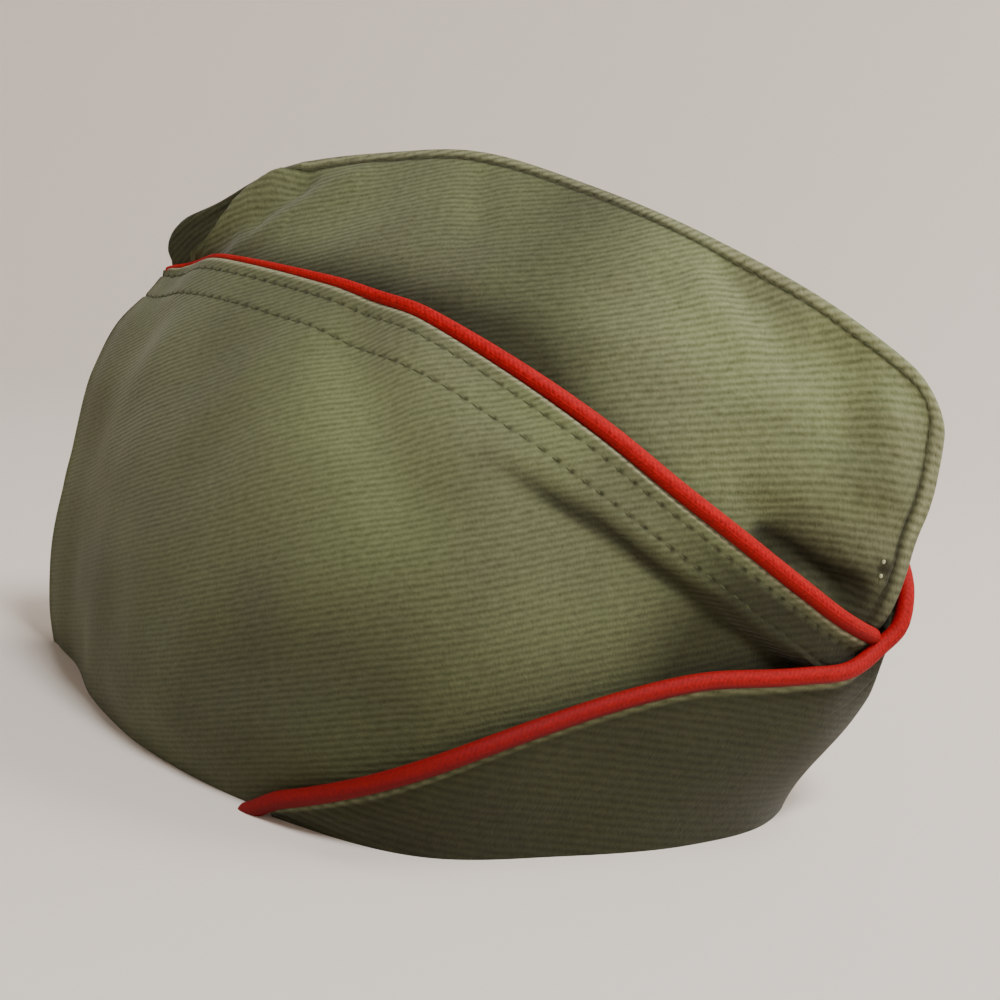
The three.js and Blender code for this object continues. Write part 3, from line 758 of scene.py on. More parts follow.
def grain_uv(face, u, grain, fan, form):
    """Flat cloth coordinates of a grid: along the ribs, and square to them."""
    spread, middle, square = fan
    up = arc(face, 1)
    run = arc(face[:, :1], 0)
    slope = curve(grain, "u", "slope", u[:, :1])
    step = (slope[1:] + slope[:-1]) / 2 * np.diff(run, axis=0)
    rise = np.concatenate([[[0]], np.cumsum(step, axis=0)])
    across = (up - rise - spread * (np.minimum(run, form.rim_run) - middle) * up) * square
    return np.stack([run + WARP_LEAN * up, across], -1)


def round_corner(points, edge, centre):
    """Draws the points outside a rounded corner in to it, in the seam plane."""
    outside = np.maximum(-edge, 0)
    pull = (outside / (CORNER + outside))[..., None]
    points[..., ::2] += (centre[::2] - points[..., ::2]) * pull


def crown_grid(form, side):
    """The two faces of a crown panel, with its distances from the seams."""
    near = np.array(SEAM_COLUMNS) / form.rim_run
    middle = np.linspace(near[-1], 1 - near[-1], PANEL_COLUMNS)[1:-1]
    s = np.concatenate([near, middle, 1 - near[::-1]])[:, None]
    fine = np.linspace(0, 1, 400)[None, :]
    height = arc(form.crown_face(side, s + 0 * fine, fine + 0 * s), 1)
    total = height[:, -1:]
    low = total - RIDGE_ROWS[-1]
    levels = np.concatenate([low * np.linspace(0, 1, PANEL_ROWS)[None, :-1],
                             total - np.array(RIDGE_ROWS)[None, ::-1]], axis=1)
    t = np.stack([np.interp(level, row, fine[0]) for level, row in zip(levels, height)])
    s = s + 0 * t
    folds = RIGHT_CROWN_FOLDS if side < 0 else LEFT_CROWN_FOLDS
    edge = RIGHT_EDGE if side < 0 else LEFT_EDGE
    curtain = RIGHT_FOLDS if side < 0 else LEFT_FOLDS
    ridge = total - levels
    depth = form.fold_depth(folds, s, t) * smoothstep(ridge, 0, RIDGE_FADE)
    covered = form.edge_share(edge, s)
    bare = np.where(depth < 0, 1, smoothstep(t, covered + BARE_FROM, covered + BARE_FULL))
    pressed = PRESSED * np.minimum(form.fold_depth(curtain, s, t), 0)
    ahead, along = behind_bulge(form, s, t)
    bulge = BULGE * bell(np.maximum(ahead, 0), 0, BULGE_REACH)
    bulge *= smoothstep(ahead, -BULGE_EDGE, BULGE_EDGE)
    bulge *= smoothstep(along, BULGE_START, BULGE_FULL)
    bulge *= smoothstep(t, covered, covered + BULGE_CLEAR)
    welt_out = WELT_OUT * smoothstep(s, FOOT_FROM, 1) * smoothstep(t, FOOT_LOW, FOOT_FULL)
    depth = depth + bulge + welt_out * (1 - smoothstep(t, FOOT_FULL, FOOT_HIGH))
    bare = np.where((bulge > 0) | (welt_out > 0), 1, bare)
    base = form.place(side, s, t, depth * bare + pressed)
    run = arc(base, 0)
    shown = smoothstep(t, covered + SHOW_FROM, covered + SHOW_FULL)
    front = (run[-1:] - run) * FRONT_SEAM + 3 * CORNER * (1 - shown)
    rear = run + 3 * CORNER * (1 - shown)
    at_front = corner_distance(ridge, front, CORNER)
    at_rear = corner_distance(ridge, rear, CORNER)
    inside = np.minimum(at_front, at_rear)
    relief = WELT * np.sin(np.pi * np.clip(inside / WELT_WIDTH, 0, 1)) ** 0.6
    relief -= GROOVE * bell(inside, GROOVE_AT, GROOVE_WIDTH) * smoothstep(at_rear, 2, 6)
    waves, length = CROWN_WAVES
    relief += waves * ripple(run, levels, length, 4) * shown * smoothstep(inside, 3, 12)
    normal = face_normals(base, side)
    outer = base + normal * relief[..., None]
    inner = base - normal * form.crown_wall
    for corner in (at_front, at_rear):
        away = np.abs(ridge - CORNER) + np.abs((front if corner is at_front else rear) - CORNER)
        centre = base[np.unravel_index(np.argmin(away), away.shape)]
        round_corner(outer, corner, centre)
        round_corner(inner, corner, centre)
    turned = np.sqrt(1 - (1 - np.clip(inside / SEAM_ROUND, 0, 1)) ** 2)
    outer[..., 1] = side * np.maximum(side * outer[..., 1], SEAM_GAP / 2 + SEAM_HALF * turned)
    return {"s": s, "t": t, "face": form.crown_face(side, s, t), "outer": outer,
            "inner": keep_own_side(inner, side), "inside": inside, "ridge": ridge,
            "ahead": ahead, "front": front, "covered": covered}


def crown_panel(form, side, material):
    """One side panel of the crown, with its wear, and its darkening, painted shade for the most part.
    """
    grid = crown_grid(form, side)
    s, t, inside = grid["s"], grid["t"], grid["inside"]
    # Worn pale along the seams, apart from the rear tab and the front seam's foot
    worn = patch(inside, *SEAM_WORN) * smoothstep(grid["ahead"], *WORN_FROM)
    worn *= 1 - FOOT_SPARED * smoothstep(s, FOOT_FROM, 1) * (1 - smoothstep(t, *FOOT_SPARED_TO))
    over_cord = (t - grid["covered"]) * form.ridge_height
    # Painted shade to the rear, and darker low down and in a patch at mid side
    soil_and_shade = fading(s, *REAR_SHADE) + fading(t, *LOW_DARKENING)
    soil_and_shade += patch(s, *SIDE_DARKENING)
    # Painted shade over the cord and low at the front, painted shadow of the bulge on the rear tab,
    # and painted shade in the seams' groove
    soil_and_shade += patch(over_cord, *OVER_CORD_SHADE)
    soil_and_shade += (FRONT_SHADE * smoothstep(s, *FRONT_SHADE_FROM)
             * (1 - smoothstep(over_cord, *FRONT_SHADE_TO)))
    soil_and_shade += fading(grid["ahead"], *TAB_SHADOW) + patch(inside, *GROOVE_SHADE)
    # Painted shadow in the hollow over the cord, a darker seam foot, and painted shade in a needle
    # hole
    if side < 0:
        soil_and_shade += form.fold_depth(DARKENED_PLACES, s, t) / form.ridge_height
    uv = grain_uv(grid["face"], grid["s"], CROWN_GRAIN, CROWN_FAN, form)
    name = "crown_cloth_right" if side < 0 else "crown_cloth_left"
    piece = wall_piece(name, grid["outer"] + form.shift, grid["inner"] + form.shift, uv,
                       {"worn": worn, "soil_and_shade": np.clip(soil_and_shade, 0, 1)}, side > 0, material)
    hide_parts("crown_right" if side < 0 else "crown_left")


# Rows of a curtain below its top edge in millimetres: close at the bead and the stitch rows
HEM_ROWS = (0, 0.15, 0.4, 0.8, 1.2, 1.6, 2, 2.3, 2.6, 2.9, 3.2, 3.6, 4.2, 5.2, 6.4, 7.6, 8.3, 8.7,
            9.1, 9.5, 9.9, 10.5, 12)
STITCH_ROWS = (2.9, 9.1)
# How far forward each row is sewn on the right curtain, in u
STITCH_ENDS = (0.99, 0.86)
STITCH = 4
STITCH_LENGTH = 2
# Dimples of the stitch rows: their width, and their depth between and at the needle holes
DIMPLE = (0.36, 0.08, 0.36)
# The bead of the turned edge: its height, middle and width, and how its top edge is rounded
BEAD = (0.3, 1, 0.6)
EDGE_ROUND = (0.45, 0.8)
# The hem's rows close up where the curtain is lower than this many times the hem
HEM_SQUEEZE = 1.4
CURTAIN_ROWS = 60
COLUMN_STEP = 0.0034
# Where the stitch rows end, and where the left curtain's tail and its low stretch start, in u
SEWN_TO = (0.98, 1.04)
TAIL_FROM = (0.99, 1.05)
LOW_TAIL = (1.1, 1.35)
# How much a curtain's bead is worn pale, how far below the edge and how wide in millimetres, and
# how much less on the tail and on its low stretch
BEAD_WORN = 0.75
BEAD_WORN_AT = (0.5, 0.5)
TAIL_WORN_LESS = 0.45
LOW_TAIL_WORN_LESS = 0.15
# Darkening on a curtain: painted shade all over but for a painted lit patch at a place in u and in
# millimetres over the rim, then painted shade and grime low down, which is less at the rear, and
# painted shade along the strip under the cord towards the front
CURTAIN_SHADE = 0.38
LIT_ALONG = (0.53, 0.13)
LIT_UP = (90, 26)
RIM_SHADE_AND_GRIME = (0.42, 20, 66)
RIM_SHADE_AND_GRIME_REAR = 0.65
RIM_SHADE_AND_GRIME_ALONG = (0.3, 0.6)
FRONT_STRIP_SHADE = 0.6
FRONT_STRIP_SHADE_FROM = (0.74, 0.86)
UNDER_EDGE = (1.5, 5)
# Painted shadow in the crease, as wide as a share of the curtain's height; grime and painted shade on
# the tail, under its bead, on its low stretch; and painted shade in the needle holes
CREASE_SHADOW_WIDTH = 0.018
TAIL_GRIME_AND_SHADE = 0.3
UNDER_BEAD_GRIME_AND_SHADE = 0.8
UNDER_BEAD = (0.6, 2.6)
LOW_TAIL_GRIME_AND_SHADE = 0.3
HOLE_SHADE = 0.75


def curtain_grid(form, side):
    """The two faces of a curtain, with its rows' distance below the edge."""
    edge = RIGHT_EDGE if side < 0 else LEFT_EDGE
    end = UNDERLAP_END if side < 0 else TAIL_END
    inner_off = form.right_inner if side < 0 else form.left_inner
    near = np.array(SEAM_COLUMNS) / form.rim_run
    middle = np.linspace(near[-1], end, int(end / COLUMN_STEP))
    u = np.concatenate([near[:-1], middle])[:, None]
    top = form.edge_share(edge, u) * form.ridge_z(u)
    squeeze = np.minimum(1, top / (HEM_ROWS[-1] * HEM_SQUEEZE))
    hem = top - np.array(HEM_ROWS)[None, ::-1] * squeeze
    low = hem[:, :1] * np.linspace(0, 1, CURTAIN_ROWS)[None, :-1]
    z = np.concatenate([low, hem], axis=1)
    t = z / form.ridge_z(u)
    u = u + 0 * t
    below = top - z
    base = inner_off(u, t) + form.curtain_depth(side, u, t)
    face = form.place(side, u, t, base + form.curtain_wall)
    holes = 0 * below
    relief = BEAD[0] * bell(below, *BEAD[1:])
    depth, reach = EDGE_ROUND
    relief += depth * (np.sqrt(1 - (1 - np.clip(below / reach, 0, 1)) ** 2) - 1)
    width, shallow, deep = DIMPLE
    for row in STITCH_ROWS:
        run = arc(face[:, CURTAIN_ROWS - 1 + HEM_ROWS[::-1].index(row)], 0)
        needle = 0.5 + 0.5 * np.cos(2 * np.pi * run / STITCH)[:, None]
        needle = needle * (1 - smoothstep(u, *SEWN_TO))
        relief -= bell(below, row * squeeze, width) * (shallow + deep * needle) * squeeze
        holes = holes + bell(below, row * squeeze, 0.5) * needle ** 3
    waves, length = CURTAIN_WAVES
    even = ripple(arc(face, 0), z, length, 9 + side)
    relief += waves * even * smoothstep(z, 0, 12) * smoothstep(below, 0, 6)
    outer = form.place(side, u, t, base + form.curtain_wall + relief)
    inner = form.place(side, u, t, base)
    rear = (u < 0.5)[..., None]
    outer = np.where(rear, keep_own_side(outer.copy(), side), outer)
    inner = np.where(rear, keep_own_side(inner.copy(), side), inner)
    return {"u": u, "z": z, "below": below, "holes": holes, "face": face, "outer": outer,
            "inner": inner}


def curtain(form, side, material):
    """One turned-up curtain, with its wear, its grime and its painted light and shade."""
    grid = curtain_grid(form, side)
    u, z, below = grid["u"], grid["z"], grid["below"]
    tail = smoothstep(u, *TAIL_FROM)
    low_tail = smoothstep(u, *LOW_TAIL)
    worn = BEAD_WORN - TAIL_WORN_LESS * tail - LOW_TAIL_WORN_LESS * low_tail
    worn = worn * bell(below, *BEAD_WORN_AT)
    # Painted shade low down (partly grime) and to the front, and a painted highlight where the side
    # bulges to the light
    soil_and_shade = CURTAIN_SHADE * (1 - bell(u, *LIT_ALONG) * bell(z, *LIT_UP))
    soil_and_shade += fading(z, *RIM_SHADE_AND_GRIME) * (
        RIM_SHADE_AND_GRIME_REAR + (1 - RIM_SHADE_AND_GRIME_REAR) * smoothstep(u, *RIM_SHADE_AND_GRIME_ALONG))
    # Painted shade below the edge towards the front
    soil_and_shade += FRONT_STRIP_SHADE * smoothstep(u, *FRONT_STRIP_SHADE_FROM) * smoothstep(below, *UNDER_EDGE)
    # Painted shadow in the crease, and grime and painted shade all over the tail but for its bead
    crease = smoothstep(u, CREASE_START, CREASE_FULL) * (side < 0)
    soil_and_shade += bell(z / (z + below), crease_share(half_of(u)), CREASE_SHADOW_WIDTH) * crease
    # On the tail: grime and painted shade, strongest below the bead
    on_tail = TAIL_GRIME_AND_SHADE + UNDER_BEAD_GRIME_AND_SHADE * smoothstep(below, *UNDER_BEAD)
    soil_and_shade = soil_and_shade * (1 - tail) + tail * on_tail + LOW_TAIL_GRIME_AND_SHADE * low_tail
    # Painted shade in the needle holes
    soil_and_shade += HOLE_SHADE * grid["holes"]
    uv = grain_uv(grid["face"], u, CURTAIN_GRAIN, CURTAIN_FAN, form)
    name = "curtain_cloth_right" if side < 0 else "curtain_cloth_left"
    piece = wall_piece(name, grid["outer"] + form.shift, grid["inner"] + form.shift, uv,
                       {"worn": worn, "soil_and_shade": np.clip(soil_and_shade, 0, 1)}, side > 0, material)
    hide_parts("curtain_right" if side < 0 else "curtain_left")


# Cords: the steps of their path in millimetres, how many of them smooth it on the right and the
# left, and the tube's sides
CORD_STEP = 0.4
CORD_SMOOTH = (5, 9)
CORD_SIDES = 20
# How far into its rounding the tube starts, in millimetres
ROUND_FROM = 0.5
# Grime and painted shade on a cord: how much on the tail and on the stretch before it, and where each
# grows, in u
TAIL_CORD_GRIME_AND_SHADE = 0.5
TAIL_CORD_GRIME_AND_SHADE_FROM = (1.03, 1.35)
FRONT_CORD_GRIME_AND_SHADE = 0.25
FRONT_CORD_GRIME_AND_SHADE_FROM = (0.85, 1)


def edge_path(form, side, end):
    """The centre line of the cord along a curtain's top edge, with u at each point."""
    edge = RIGHT_EDGE if side < 0 else LEFT_EDGE
    inner_off = form.right_inner if side < 0 else form.left_inner
    u = np.linspace(0, end, 1200)
    t = np.maximum(form.below_cord(edge, u, 0), 0)
    off = inner_off(u, t) + form.curtain_depth(side, u, t) + form.cord_radius(u)
    path = form.place(side, u, t, off)
    run = arc(path, 0)
    even = np.arange(0, run[-1], CORD_STEP)
    return (np.stack([np.interp(even, run, path[:, i]) for i in range(3)], -1),
            np.interp(even, run, u))


def tail_cord_end(form):
    """u where the tail's cord has come down to the rim."""
    u = np.linspace(TAIL_SEARCH, LEFT_EDGE["u"][-1], 400)
    return u[np.argmax(form.cord_z(LEFT_EDGE, u) < TAIL_CORD_LOW)]


def cord_piece(form, side, material):
    """The cord along one curtain's edge, with its grime and painted shade."""
    end = CORD_TUCK if side < 0 else tail_cord_end(form)
    path, u = edge_path(form, side, end)
    path = smooth_path(path, CORD_SMOOTH[side > 0])
    from_start = arc(path, 0)
    to_end = from_start[-1] - from_start
    radius = form.cord_radius(u)
    # The tail's cord runs out slanting at the rim
    if side > 0:
        path[:, 2] -= TAIL_DROP * radius * (1 - smoothstep(to_end, 0, TAIL_CUT))
    ends = np.minimum(to_end, from_start + ROUND_FROM)
    rounded = np.sqrt(np.clip(1 - (1 - np.clip(ends / radius, 0, 1)) ** 2, 0.02, 1))
    name = "piping_cord_right" if side < 0 else "piping_cord_left"
    # Darker from where it crosses the front, and most on the tail: grime and painted shade
    soil_and_shade = TAIL_CORD_GRIME_AND_SHADE * smoothstep(u, *TAIL_CORD_GRIME_AND_SHADE_FROM)
    soil_and_shade += FRONT_CORD_GRIME_AND_SHADE * smoothstep(u, *FRONT_CORD_GRIME_AND_SHADE_FROM)
    piece = tube_piece(name, path + form.shift, radius * rounded, soil_and_shade, CORD_SIDES, material)
    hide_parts("piping_right" if side < 0 else "piping_left")


# Stitches of the ridge and front seams: pitch, length and radius, and the hems' radius
SEAM_STITCH = (3.2, 2.5, 0.22)
HEM_THREAD = 0.2
# The two pale threads: length and radius
TACK_THREAD = (1.1, 0.42)


def stitch_tree():
    """Geometry nodes that sew a row of stitches along each path of a mesh."""
    tree = bpy.data.node_groups.new("stitch_row", "GeometryNodeTree")
    face = tree.interface
    face.new_socket("Path", in_out="INPUT", socket_type="NodeSocketGeometry")
    for name, kind in (("Pitch", "Float"), ("Length", "Float"), ("Radius", "Float"),
                       ("Seed", "Int"), ("Thread", "Material")):
        face.new_socket(name, in_out="INPUT", socket_type="NodeSocket" + kind)
    face.new_socket("Stitches", in_out="OUTPUT", socket_type="NodeSocketGeometry")
    given = add(tree, "NodeGroupInput").outputs
    line = add(tree, "GeometryNodeMeshToCurve", {"Mesh": given["Path"]})
    even = add(tree, "GeometryNodeResampleCurve",
               {"Curve": line.outputs[0], "Length": given["Pitch"]}, mode="LENGTH")
    half = add(tree, "ShaderNodeMath", {0: given["Length"], 1: 0.5}, operation="MULTIPLY")
    scale = add(tree, "ShaderNodeCombineXYZ", {0: half.outputs[0], 1: given["Radius"],
                                               2: given["Radius"]})
    ball = add(tree, "GeometryNodeMeshUVSphere", {"Segments": 10, "Rings": 8, "Radius": 1.0})
    thread = add(tree, "GeometryNodeTransform", {"Geometry": ball.outputs[0],
                                                 "Scale": scale.outputs[0]})
    soft = add(tree, "GeometryNodeSetShadeSmooth", {"Geometry": thread.outputs[0]})
    tangent = add(tree, "GeometryNodeInputTangent")
    aligned = add(tree, "FunctionNodeAlignRotationToVector", {"Vector": tangent.outputs[0]},
                  axis="X")
    sway = add(tree, "FunctionNodeRandomValue", {0: (-0.12, -0.12, -0.12), 1: (0.12, 0.12, 0.12),
                                                 "Seed": given["Seed"]}, data_type="FLOAT_VECTOR")
    swayed = add(tree, "FunctionNodeEulerToRotation", {0: sway.outputs[0]})
    turned = add(tree, "FunctionNodeRotateRotation", {0: aligned.outputs[0],
                                                      1: swayed.outputs[0]},
                 rotation_space="LOCAL")
    sewn = add(tree, "GeometryNodeInstanceOnPoints",
               {"Points": even.outputs[0], "Instance": soft.outputs[0],
                "Rotation": turned.outputs[0]})
    real = add(tree, "GeometryNodeRealizeInstances", {"Geometry": sewn.outputs[0]})
    coloured = add(tree, "GeometryNodeSetMaterial", {"Geometry": real.outputs[0],
                                                     "Material": given["Thread"]})
    add(tree, "NodeGroupOutput", {0: coloured.outputs[0]})
    return tree


def stitches(name, paths, pitch, length, radius, seed, thread, slot):
    """Rows of stitches along paths, made by geometry nodes and kept as a plain mesh."""
    mesh = bpy.data.meshes.new(name)
    starts = np.cumsum([0] + [len(path) for path in paths])
    edges = [(i, i + 1) for start, path in zip(starts, paths)
             for i in range(start, start + len(path) - 1)]
    mesh.from_pydata((np.concatenate(paths) * MM).tolist(), edges, [])
    piece = bpy.data.objects.new(name, mesh)
    bpy.context.scene.collection.objects.link(piece)
    tree = bpy.data.node_groups.get("stitch_row") or stitch_tree()
    values = {"Pitch": pitch * MM, "Length": length * MM, "Radius": radius * MM, "Seed": seed,
              "Thread": thread}
    modifier = piece.modifiers.new("sew", "NODES")
    modifier.node_group = tree
    for item in tree.interface.items_tree:
        if item.in_out == "INPUT" and item.name in values:
            modifier[item.identifier] = values[item.name]
    done = bpy.data.meshes.new_from_object(
        piece.evaluated_get(bpy.context.evaluated_depsgraph_get()))
    piece.modifiers.remove(modifier)
    piece.data = done
    if not done.polygons:
        raise RuntimeError(f"no stitches were made for {name}")
    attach(piece, "root")


def whole_stitches(path, pitch, shift):
    """The part of a path that holds a whole number of stitches, from shift along it."""
    run = arc(path, 0)
    count = int((run[-1] - shift) / pitch)
    even = np.linspace(shift, shift + count * pitch, count * 4 + 1)
    return np.stack([np.interp(even, run, path[:, i]) for i in range(3)], -1)


def hem_paths(form, side):
    """The paths of a curtain's two stitch rows."""
    grid = curtain_grid(form, side)
    paths = []
    for row, end in zip(STITCH_ROWS, STITCH_ENDS):
        path = grid["outer"][:, CURTAIN_ROWS - 1 + HEM_ROWS[::-1].index(row)]
        last = 1 if side > 0 else end
        path = path[:np.argmax(grid["u"][:, 0] > last)]
        paths.append(whole_stitches(path, STITCH, STITCH / 2) + form.shift)
    return paths


def seam_path(form, side):
    """The topstitching's path: along the ridge, round the peak and down the front seam."""
    grid = crown_grid(form, side)
    ridge, front, outer = grid["ridge"], grid["front"], grid["outer"]
    turn = np.linspace(0, np.pi / 2, 12)[1:-1]
    round_by = CORNER - (CORNER - GROOVE_AT) * np.stack([np.cos(turn), np.sin(turn)], -1)
    back = np.linspace(front[SEWN_FROM, -1], CORNER, 160)
    down = np.linspace(CORNER, 30, 40)
    a = np.concatenate([0 * back + GROOVE_AT, round_by[:, 0], down])
    b = np.concatenate([back, round_by[:, 1], 0 * down + GROOVE_AT])
    columns = np.arange(ridge.shape[0])
    rows = np.arange(ridge.shape[1])
    path = []
    for a_now, b_now in zip(a, b):
        row = np.array([np.interp(-a_now, -ridge[i], rows) for i in columns])
        across = sample(front[..., None], columns.astype(float), row)[:, 0]
        column = np.interp(-b_now, -across, columns)
        at = np.interp(column, columns, row)
        path.append(sample(outer, np.array([column]), np.array([at]))[0])
    return np.array(path)


def tack_path(form):
    """The line between the two pale threads at the foot of the front seam."""
    grid = crown_grid(form, -1)
    ends = []
    for s, t in BAR_TACK:
        away = np.hypot(grid["s"] - s, grid["t"] - t)
        ends.append(grid["outer"][np.unravel_index(np.argmin(away), away.shape)])
    return np.linspace(ends[0], ends[1], 8) + form.shift


def light(name, place, aim, size, power, colour=(1, 1, 1)):
    lamp = bpy.data.lights.new(name, "AREA")
    lamp.shape = "DISK"
    lamp.size = size
    lamp.energy = power
    lamp.color = colour
    made = bpy.data.objects.new(name, lamp)
    made.location = place
    made.rotation_euler = (Vector(aim) - Vector(place)).to_track_quat("-Z", "Y").to_euler()
    bpy.context.scene.collection.objects.link(made)


# The photograph's view: degrees round, up and rolled, millimetres from the rear of the rim to
# where it aims, metres away, and the lens
VIEW = (18, 9.9, 7)
VIEW_AIM = (123, 0, 62)
VIEW_DISTANCE = 0.399
LENS = 57.6
SENSOR = 36


def camera(form):
    """The photograph's view: a long-lens camera, low on the cap's right and front."""
    a, e, r = (math.radians(angle) for angle in VIEW)
    back = Vector((math.sin(a) * math.cos(e), -math.cos(a) * math.cos(e), math.sin(e)))
    level = Vector((math.cos(a), math.sin(a), 0))
    upright = level.cross(-back)
    right = math.cos(r) * level + math.sin(r) * upright
    up = -math.sin(r) * level + math.cos(r) * upright
    target = (Vector(form.shift) + Vector(VIEW_AIM)) * MM
    data = bpy.data.cameras.new("camera")
    data.sensor_width = SENSOR
    data.lens = LENS
    data.clip_start = 0.01
    made = bpy.data.objects.new("camera", data)
    bpy.context.scene.collection.objects.link(made)
    matrix = Matrix((right, up, back)).transposed().to_4x4()
    matrix.translation = target + back * VIEW_DISTANCE
    made.matrix_world = matrix
    bpy.context.scene.camera = made


def backdrop(material):
    """A round floor that sweeps up on all sides in one curve, like a shallow bowl."""
    reach, radius, height, sides = 0.7, 0.9, 1.6, 96
    turn = np.linspace(0, np.pi / 2, 24)
    profile = [(0.3, 0.0)]
    profile += [(reach + radius * math.sin(x), radius - radius * math.cos(x)) for x in turn]
    profile += [(reach + radius, height)]
    points = [(r * math.cos(2 * math.pi * k / sides), r * math.sin(2 * math.pi * k / sides), z)
              for k in range(sides) for r, z in profile]
    n = len(profile)
    faces = [(k * n + i, (k + 1) % sides * n + i, (k + 1) % sides * n + i + 1, k * n + i + 1)
             for k in range(sides) for i in range(n - 1)]
    faces.append([k * n for k in range(sides)][::-1])
    mesh = bpy.data.meshes.new("floor")
    mesh.from_pydata(points, [], faces)
    mesh.shade_smooth()
    mesh.materials.append(material)
    floor = bpy.data.objects.new("floor", mesh)
    bpy.context.scene.collection.objects.link(floor)


class CapSizes(bpy.types.PropertyGroup):
    rim_length: bpy.props.FloatProperty(
        name="Rim length", description="Rim from rear to front", default=0.199, unit="LENGTH")
    rim_width: bpy.props.FloatProperty(
        name="Rim width", description="Rim from side to side", default=0.151, unit="LENGTH")
    ridge_length: bpy.props.FloatProperty(
        name="Ridge length", description="Ridge seam, rear to front peak", default=0.2025,
        unit="LENGTH")
    ridge_height: bpy.props.FloatProperty(
        name="Ridge height", description="Highest place of the ridge over the rim",
        default=0.146, unit="LENGTH")
    ridge_lead: bpy.props.FloatProperty(
        name="Ridge lead", description="How far the ridge starts in front of the rim's rear",
        default=0.023, unit="LENGTH")
    crown_wall: bpy.props.FloatProperty(
        name="Crown cloth", description="Thickness of the crown's cloth", default=0.0014,
        unit="LENGTH")
    curtain_wall: bpy.props.FloatProperty(
        name="Curtain cloth", description="Thickness of the turned-up curtain",
        default=0.0018, unit="LENGTH")
    cord: bpy.props.FloatProperty(
        name="Cord", description="Diameter of the edge cord", default=0.004, unit="LENGTH")
    flare: bpy.props.FloatProperty(
        name="Right flare", description="How far the right curtain's edge stands off",
        default=0.0042, unit="LENGTH")
    cross_flare: bpy.props.FloatProperty(
        name="Left flare", description="How far the left curtain's edge stands off",
        default=0.0068, unit="LENGTH")
    rib_pitch: bpy.props.FloatProperty(
        name="Rib pitch", description="Spacing of the cloth's ribs", default=0.00135,
        unit="LENGTH")


class CapColours(bpy.types.PropertyGroup):
    crown: bpy.props.FloatVectorProperty(
        name="Crown", description="Ribs of the crown's cloth", subtype="COLOR", size=4,
        min=0, max=1, default=linear("#969f7e"))
    curtain: bpy.props.FloatVectorProperty(
        name="Curtain", description="Ribs of the curtains' cloth", subtype="COLOR", size=4,
        min=0, max=1, default=linear("#8a9373"))
    groove: bpy.props.FloatVectorProperty(
        name="Groove", description="Cloth between the ribs", subtype="COLOR", size=4,
        min=0, max=1, default=linear("#5f6547"))
    pale: bpy.props.FloatVectorProperty(
        name="Worn", description="Cloth worn pale on its edges", subtype="COLOR", size=4,
        min=0, max=1, default=linear("#bcbc9a"))
    cord: bpy.props.FloatVectorProperty(
        name="Cord", description="The edge cord", subtype="COLOR", size=4,
        min=0, max=1, default=linear("#cc1013"))
    cord_dark: bpy.props.FloatVectorProperty(
        name="Cord, dark", description="Between the cord's picks", subtype="COLOR", size=4,
        min=0, max=1, default=linear("#620306"))
    thread: bpy.props.FloatVectorProperty(
        name="Thread", description="The sewing thread", subtype="COLOR", size=4,
        min=0, max=1, default=linear("#4d5138"))


# The cord's braid: metres from pick to pick
BRAID_PICK = 0.0012


def crown_material(scene):
    sizes, colours = scene.cap_sizes, scene.cap_colours
    return material_of("cotton_repp_crown", cotton_repp, colours.crown, colours.groove,
                       colours.pale, sizes.rib_pitch)


def curtain_material(scene):
    sizes, colours = scene.cap_sizes, scene.cap_colours
    return material_of("cotton_repp_curtain", cotton_repp, colours.curtain, colours.groove,
                       colours.pale, sizes.rib_pitch)


def cord_material(scene):
    colours = scene.cap_colours
    return material_of("rayon_braid", braid, colours.cord, colours.cord_dark, BRAID_PICK)


def thread_material(scene):
    return material_of("cotton_thread", cotton_thread, scene.cap_colours.thread)


class CAP_OT_crown(bpy.types.Operator):
    """Make the two crown panels"""
    bl_idname = "cap.crown"
    bl_label = "Crown"

    def execute(self, context):
        sizes = context.scene.cap_sizes
        for side in (-1, 1):
            crown_panel(Form(sizes), side, crown_material(context.scene))
        return {"FINISHED"}


class CAP_OT_curtains(bpy.types.Operator):
    """Make the two turned-up curtains"""
    bl_idname = "cap.curtains"
    bl_label = "Curtains"

    def execute(self, context):
        sizes = context.scene.cap_sizes
        for side in (-1, 1):
            curtain(Form(sizes), side, curtain_material(context.scene))
        return {"FINISHED"}


class CAP_OT_cords(bpy.types.Operator):
    """Make the braided cords along the curtains' edges"""
    bl_idname = "cap.cords"
    bl_label = "Cords"

    def execute(self, context):
        sizes = context.scene.cap_sizes
        for side in (-1, 1):
            cord_piece(Form(sizes), side, cord_material(context.scene))
        return {"FINISHED"}


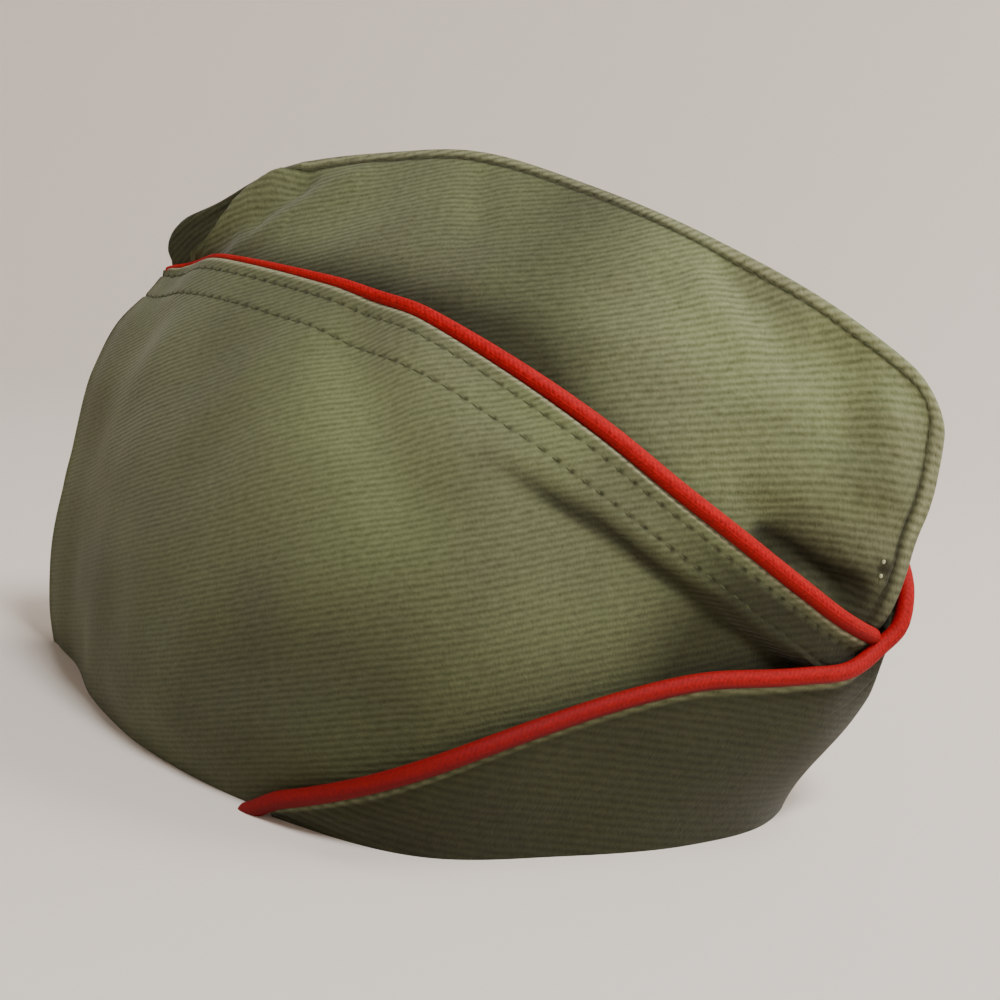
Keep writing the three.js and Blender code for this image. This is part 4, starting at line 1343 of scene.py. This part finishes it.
class CAP_OT_stitches(bpy.types.Operator):
    """Sew the topstitching of the ridge and front seams and of the hems"""
    bl_idname = "cap.stitches"
    bl_label = "Stitches"

    def execute(self, context):
        form = Form(context.scene.cap_sizes)
        thread = thread_material(context.scene)
        for side, name in ((-1, "right"), (1, "left")):
            stitches("hem_stitches_" + name, hem_paths(form, side), STITCH, STITCH_LENGTH,
                     HEM_THREAD, 3 + side, thread, "curtain_cloth")
            pitch = SEAM_STITCH[0]
            path = whole_stitches(seam_path(form, side), pitch, pitch / 2) + form.shift
            stitches("seam_stitches_" + name, [path], *SEAM_STITCH, 7 + side, thread,
                     "crown_cloth")
        tack = tack_path(form)
        # A pitch just short of the gap puts one thread at each end
        gap = 0.999 * np.linalg.norm(tack[-1] - tack[0])
        stitches("bar_tack", [tack], gap, *TACK_THREAD, 5,
                 material_of("pale_thread", cotton_thread, context.scene.cap_colours.pale),
                 "crown_cloth")
        return {"FINISHED"}


class CAP_OT_stage(bpy.types.Operator):
    """Set up the floor, the lights and the camera"""
    bl_idname = "cap.stage"
    bl_label = "Stage"

    def execute(self, context):
        backdrop(material_of("studio_paper", matt_paper, linear("#f3eae1")))
        light("key", (0.55, -0.38, 1.15), (0.02, 0, 0.08), 0.35, 14.5)
        light("back", (0.8, 0.5, 1.3), (0.75, 1.2, 0.2), 0.8, 14, (1, 0.965, 0.92))
        world = bpy.data.worlds.new("studio")
        world.use_nodes = True
        world.node_tree.nodes["Background"].inputs["Color"].default_value = linear("#d8dce2")
        world.node_tree.nodes["Background"].inputs["Strength"].default_value = 0.13
        context.scene.world = world
        camera(Form(context.scene.cap_sizes))
        return {"FINISHED"}


class CAP_PT_panel(bpy.types.Panel):
    """The cap's sizes, colours and pieces"""
    bl_label = "Garrison Cap"
    bl_idname = "CAP_PT_panel"
    bl_space_type = "VIEW_3D"
    bl_region_type = "UI"
    bl_category = "Cap"

    def draw(self, context):
        layout = self.layout
        for group in (context.scene.cap_sizes, context.scene.cap_colours):
            for name in group.__annotations__:
                layout.prop(group, name)
        for operator in OPERATORS:
            layout.operator(operator.bl_idname)


OPERATORS = (CAP_OT_stage, CAP_OT_crown, CAP_OT_curtains, CAP_OT_cords, CAP_OT_stitches)
CLASSES = (CapSizes, CapColours, *OPERATORS, CAP_PT_panel)


def register():
    for made in CLASSES:
        bpy.utils.register_class(made)
    bpy.types.Scene.cap_sizes = bpy.props.PointerProperty(type=CapSizes)
    bpy.types.Scene.cap_colours = bpy.props.PointerProperty(type=CapColours)


def unregister():
    del bpy.types.Scene.cap_sizes
    del bpy.types.Scene.cap_colours
    for made in reversed(CLASSES):
        bpy.utils.unregister_class(made)


def main():
    register()
    bpy.ops.cap.stage()
    bpy.ops.cap.crown()
    bpy.ops.cap.curtains()
    bpy.ops.cap.cords()
    bpy.ops.cap.stitches()


if __name__ == "__main__":
    main()
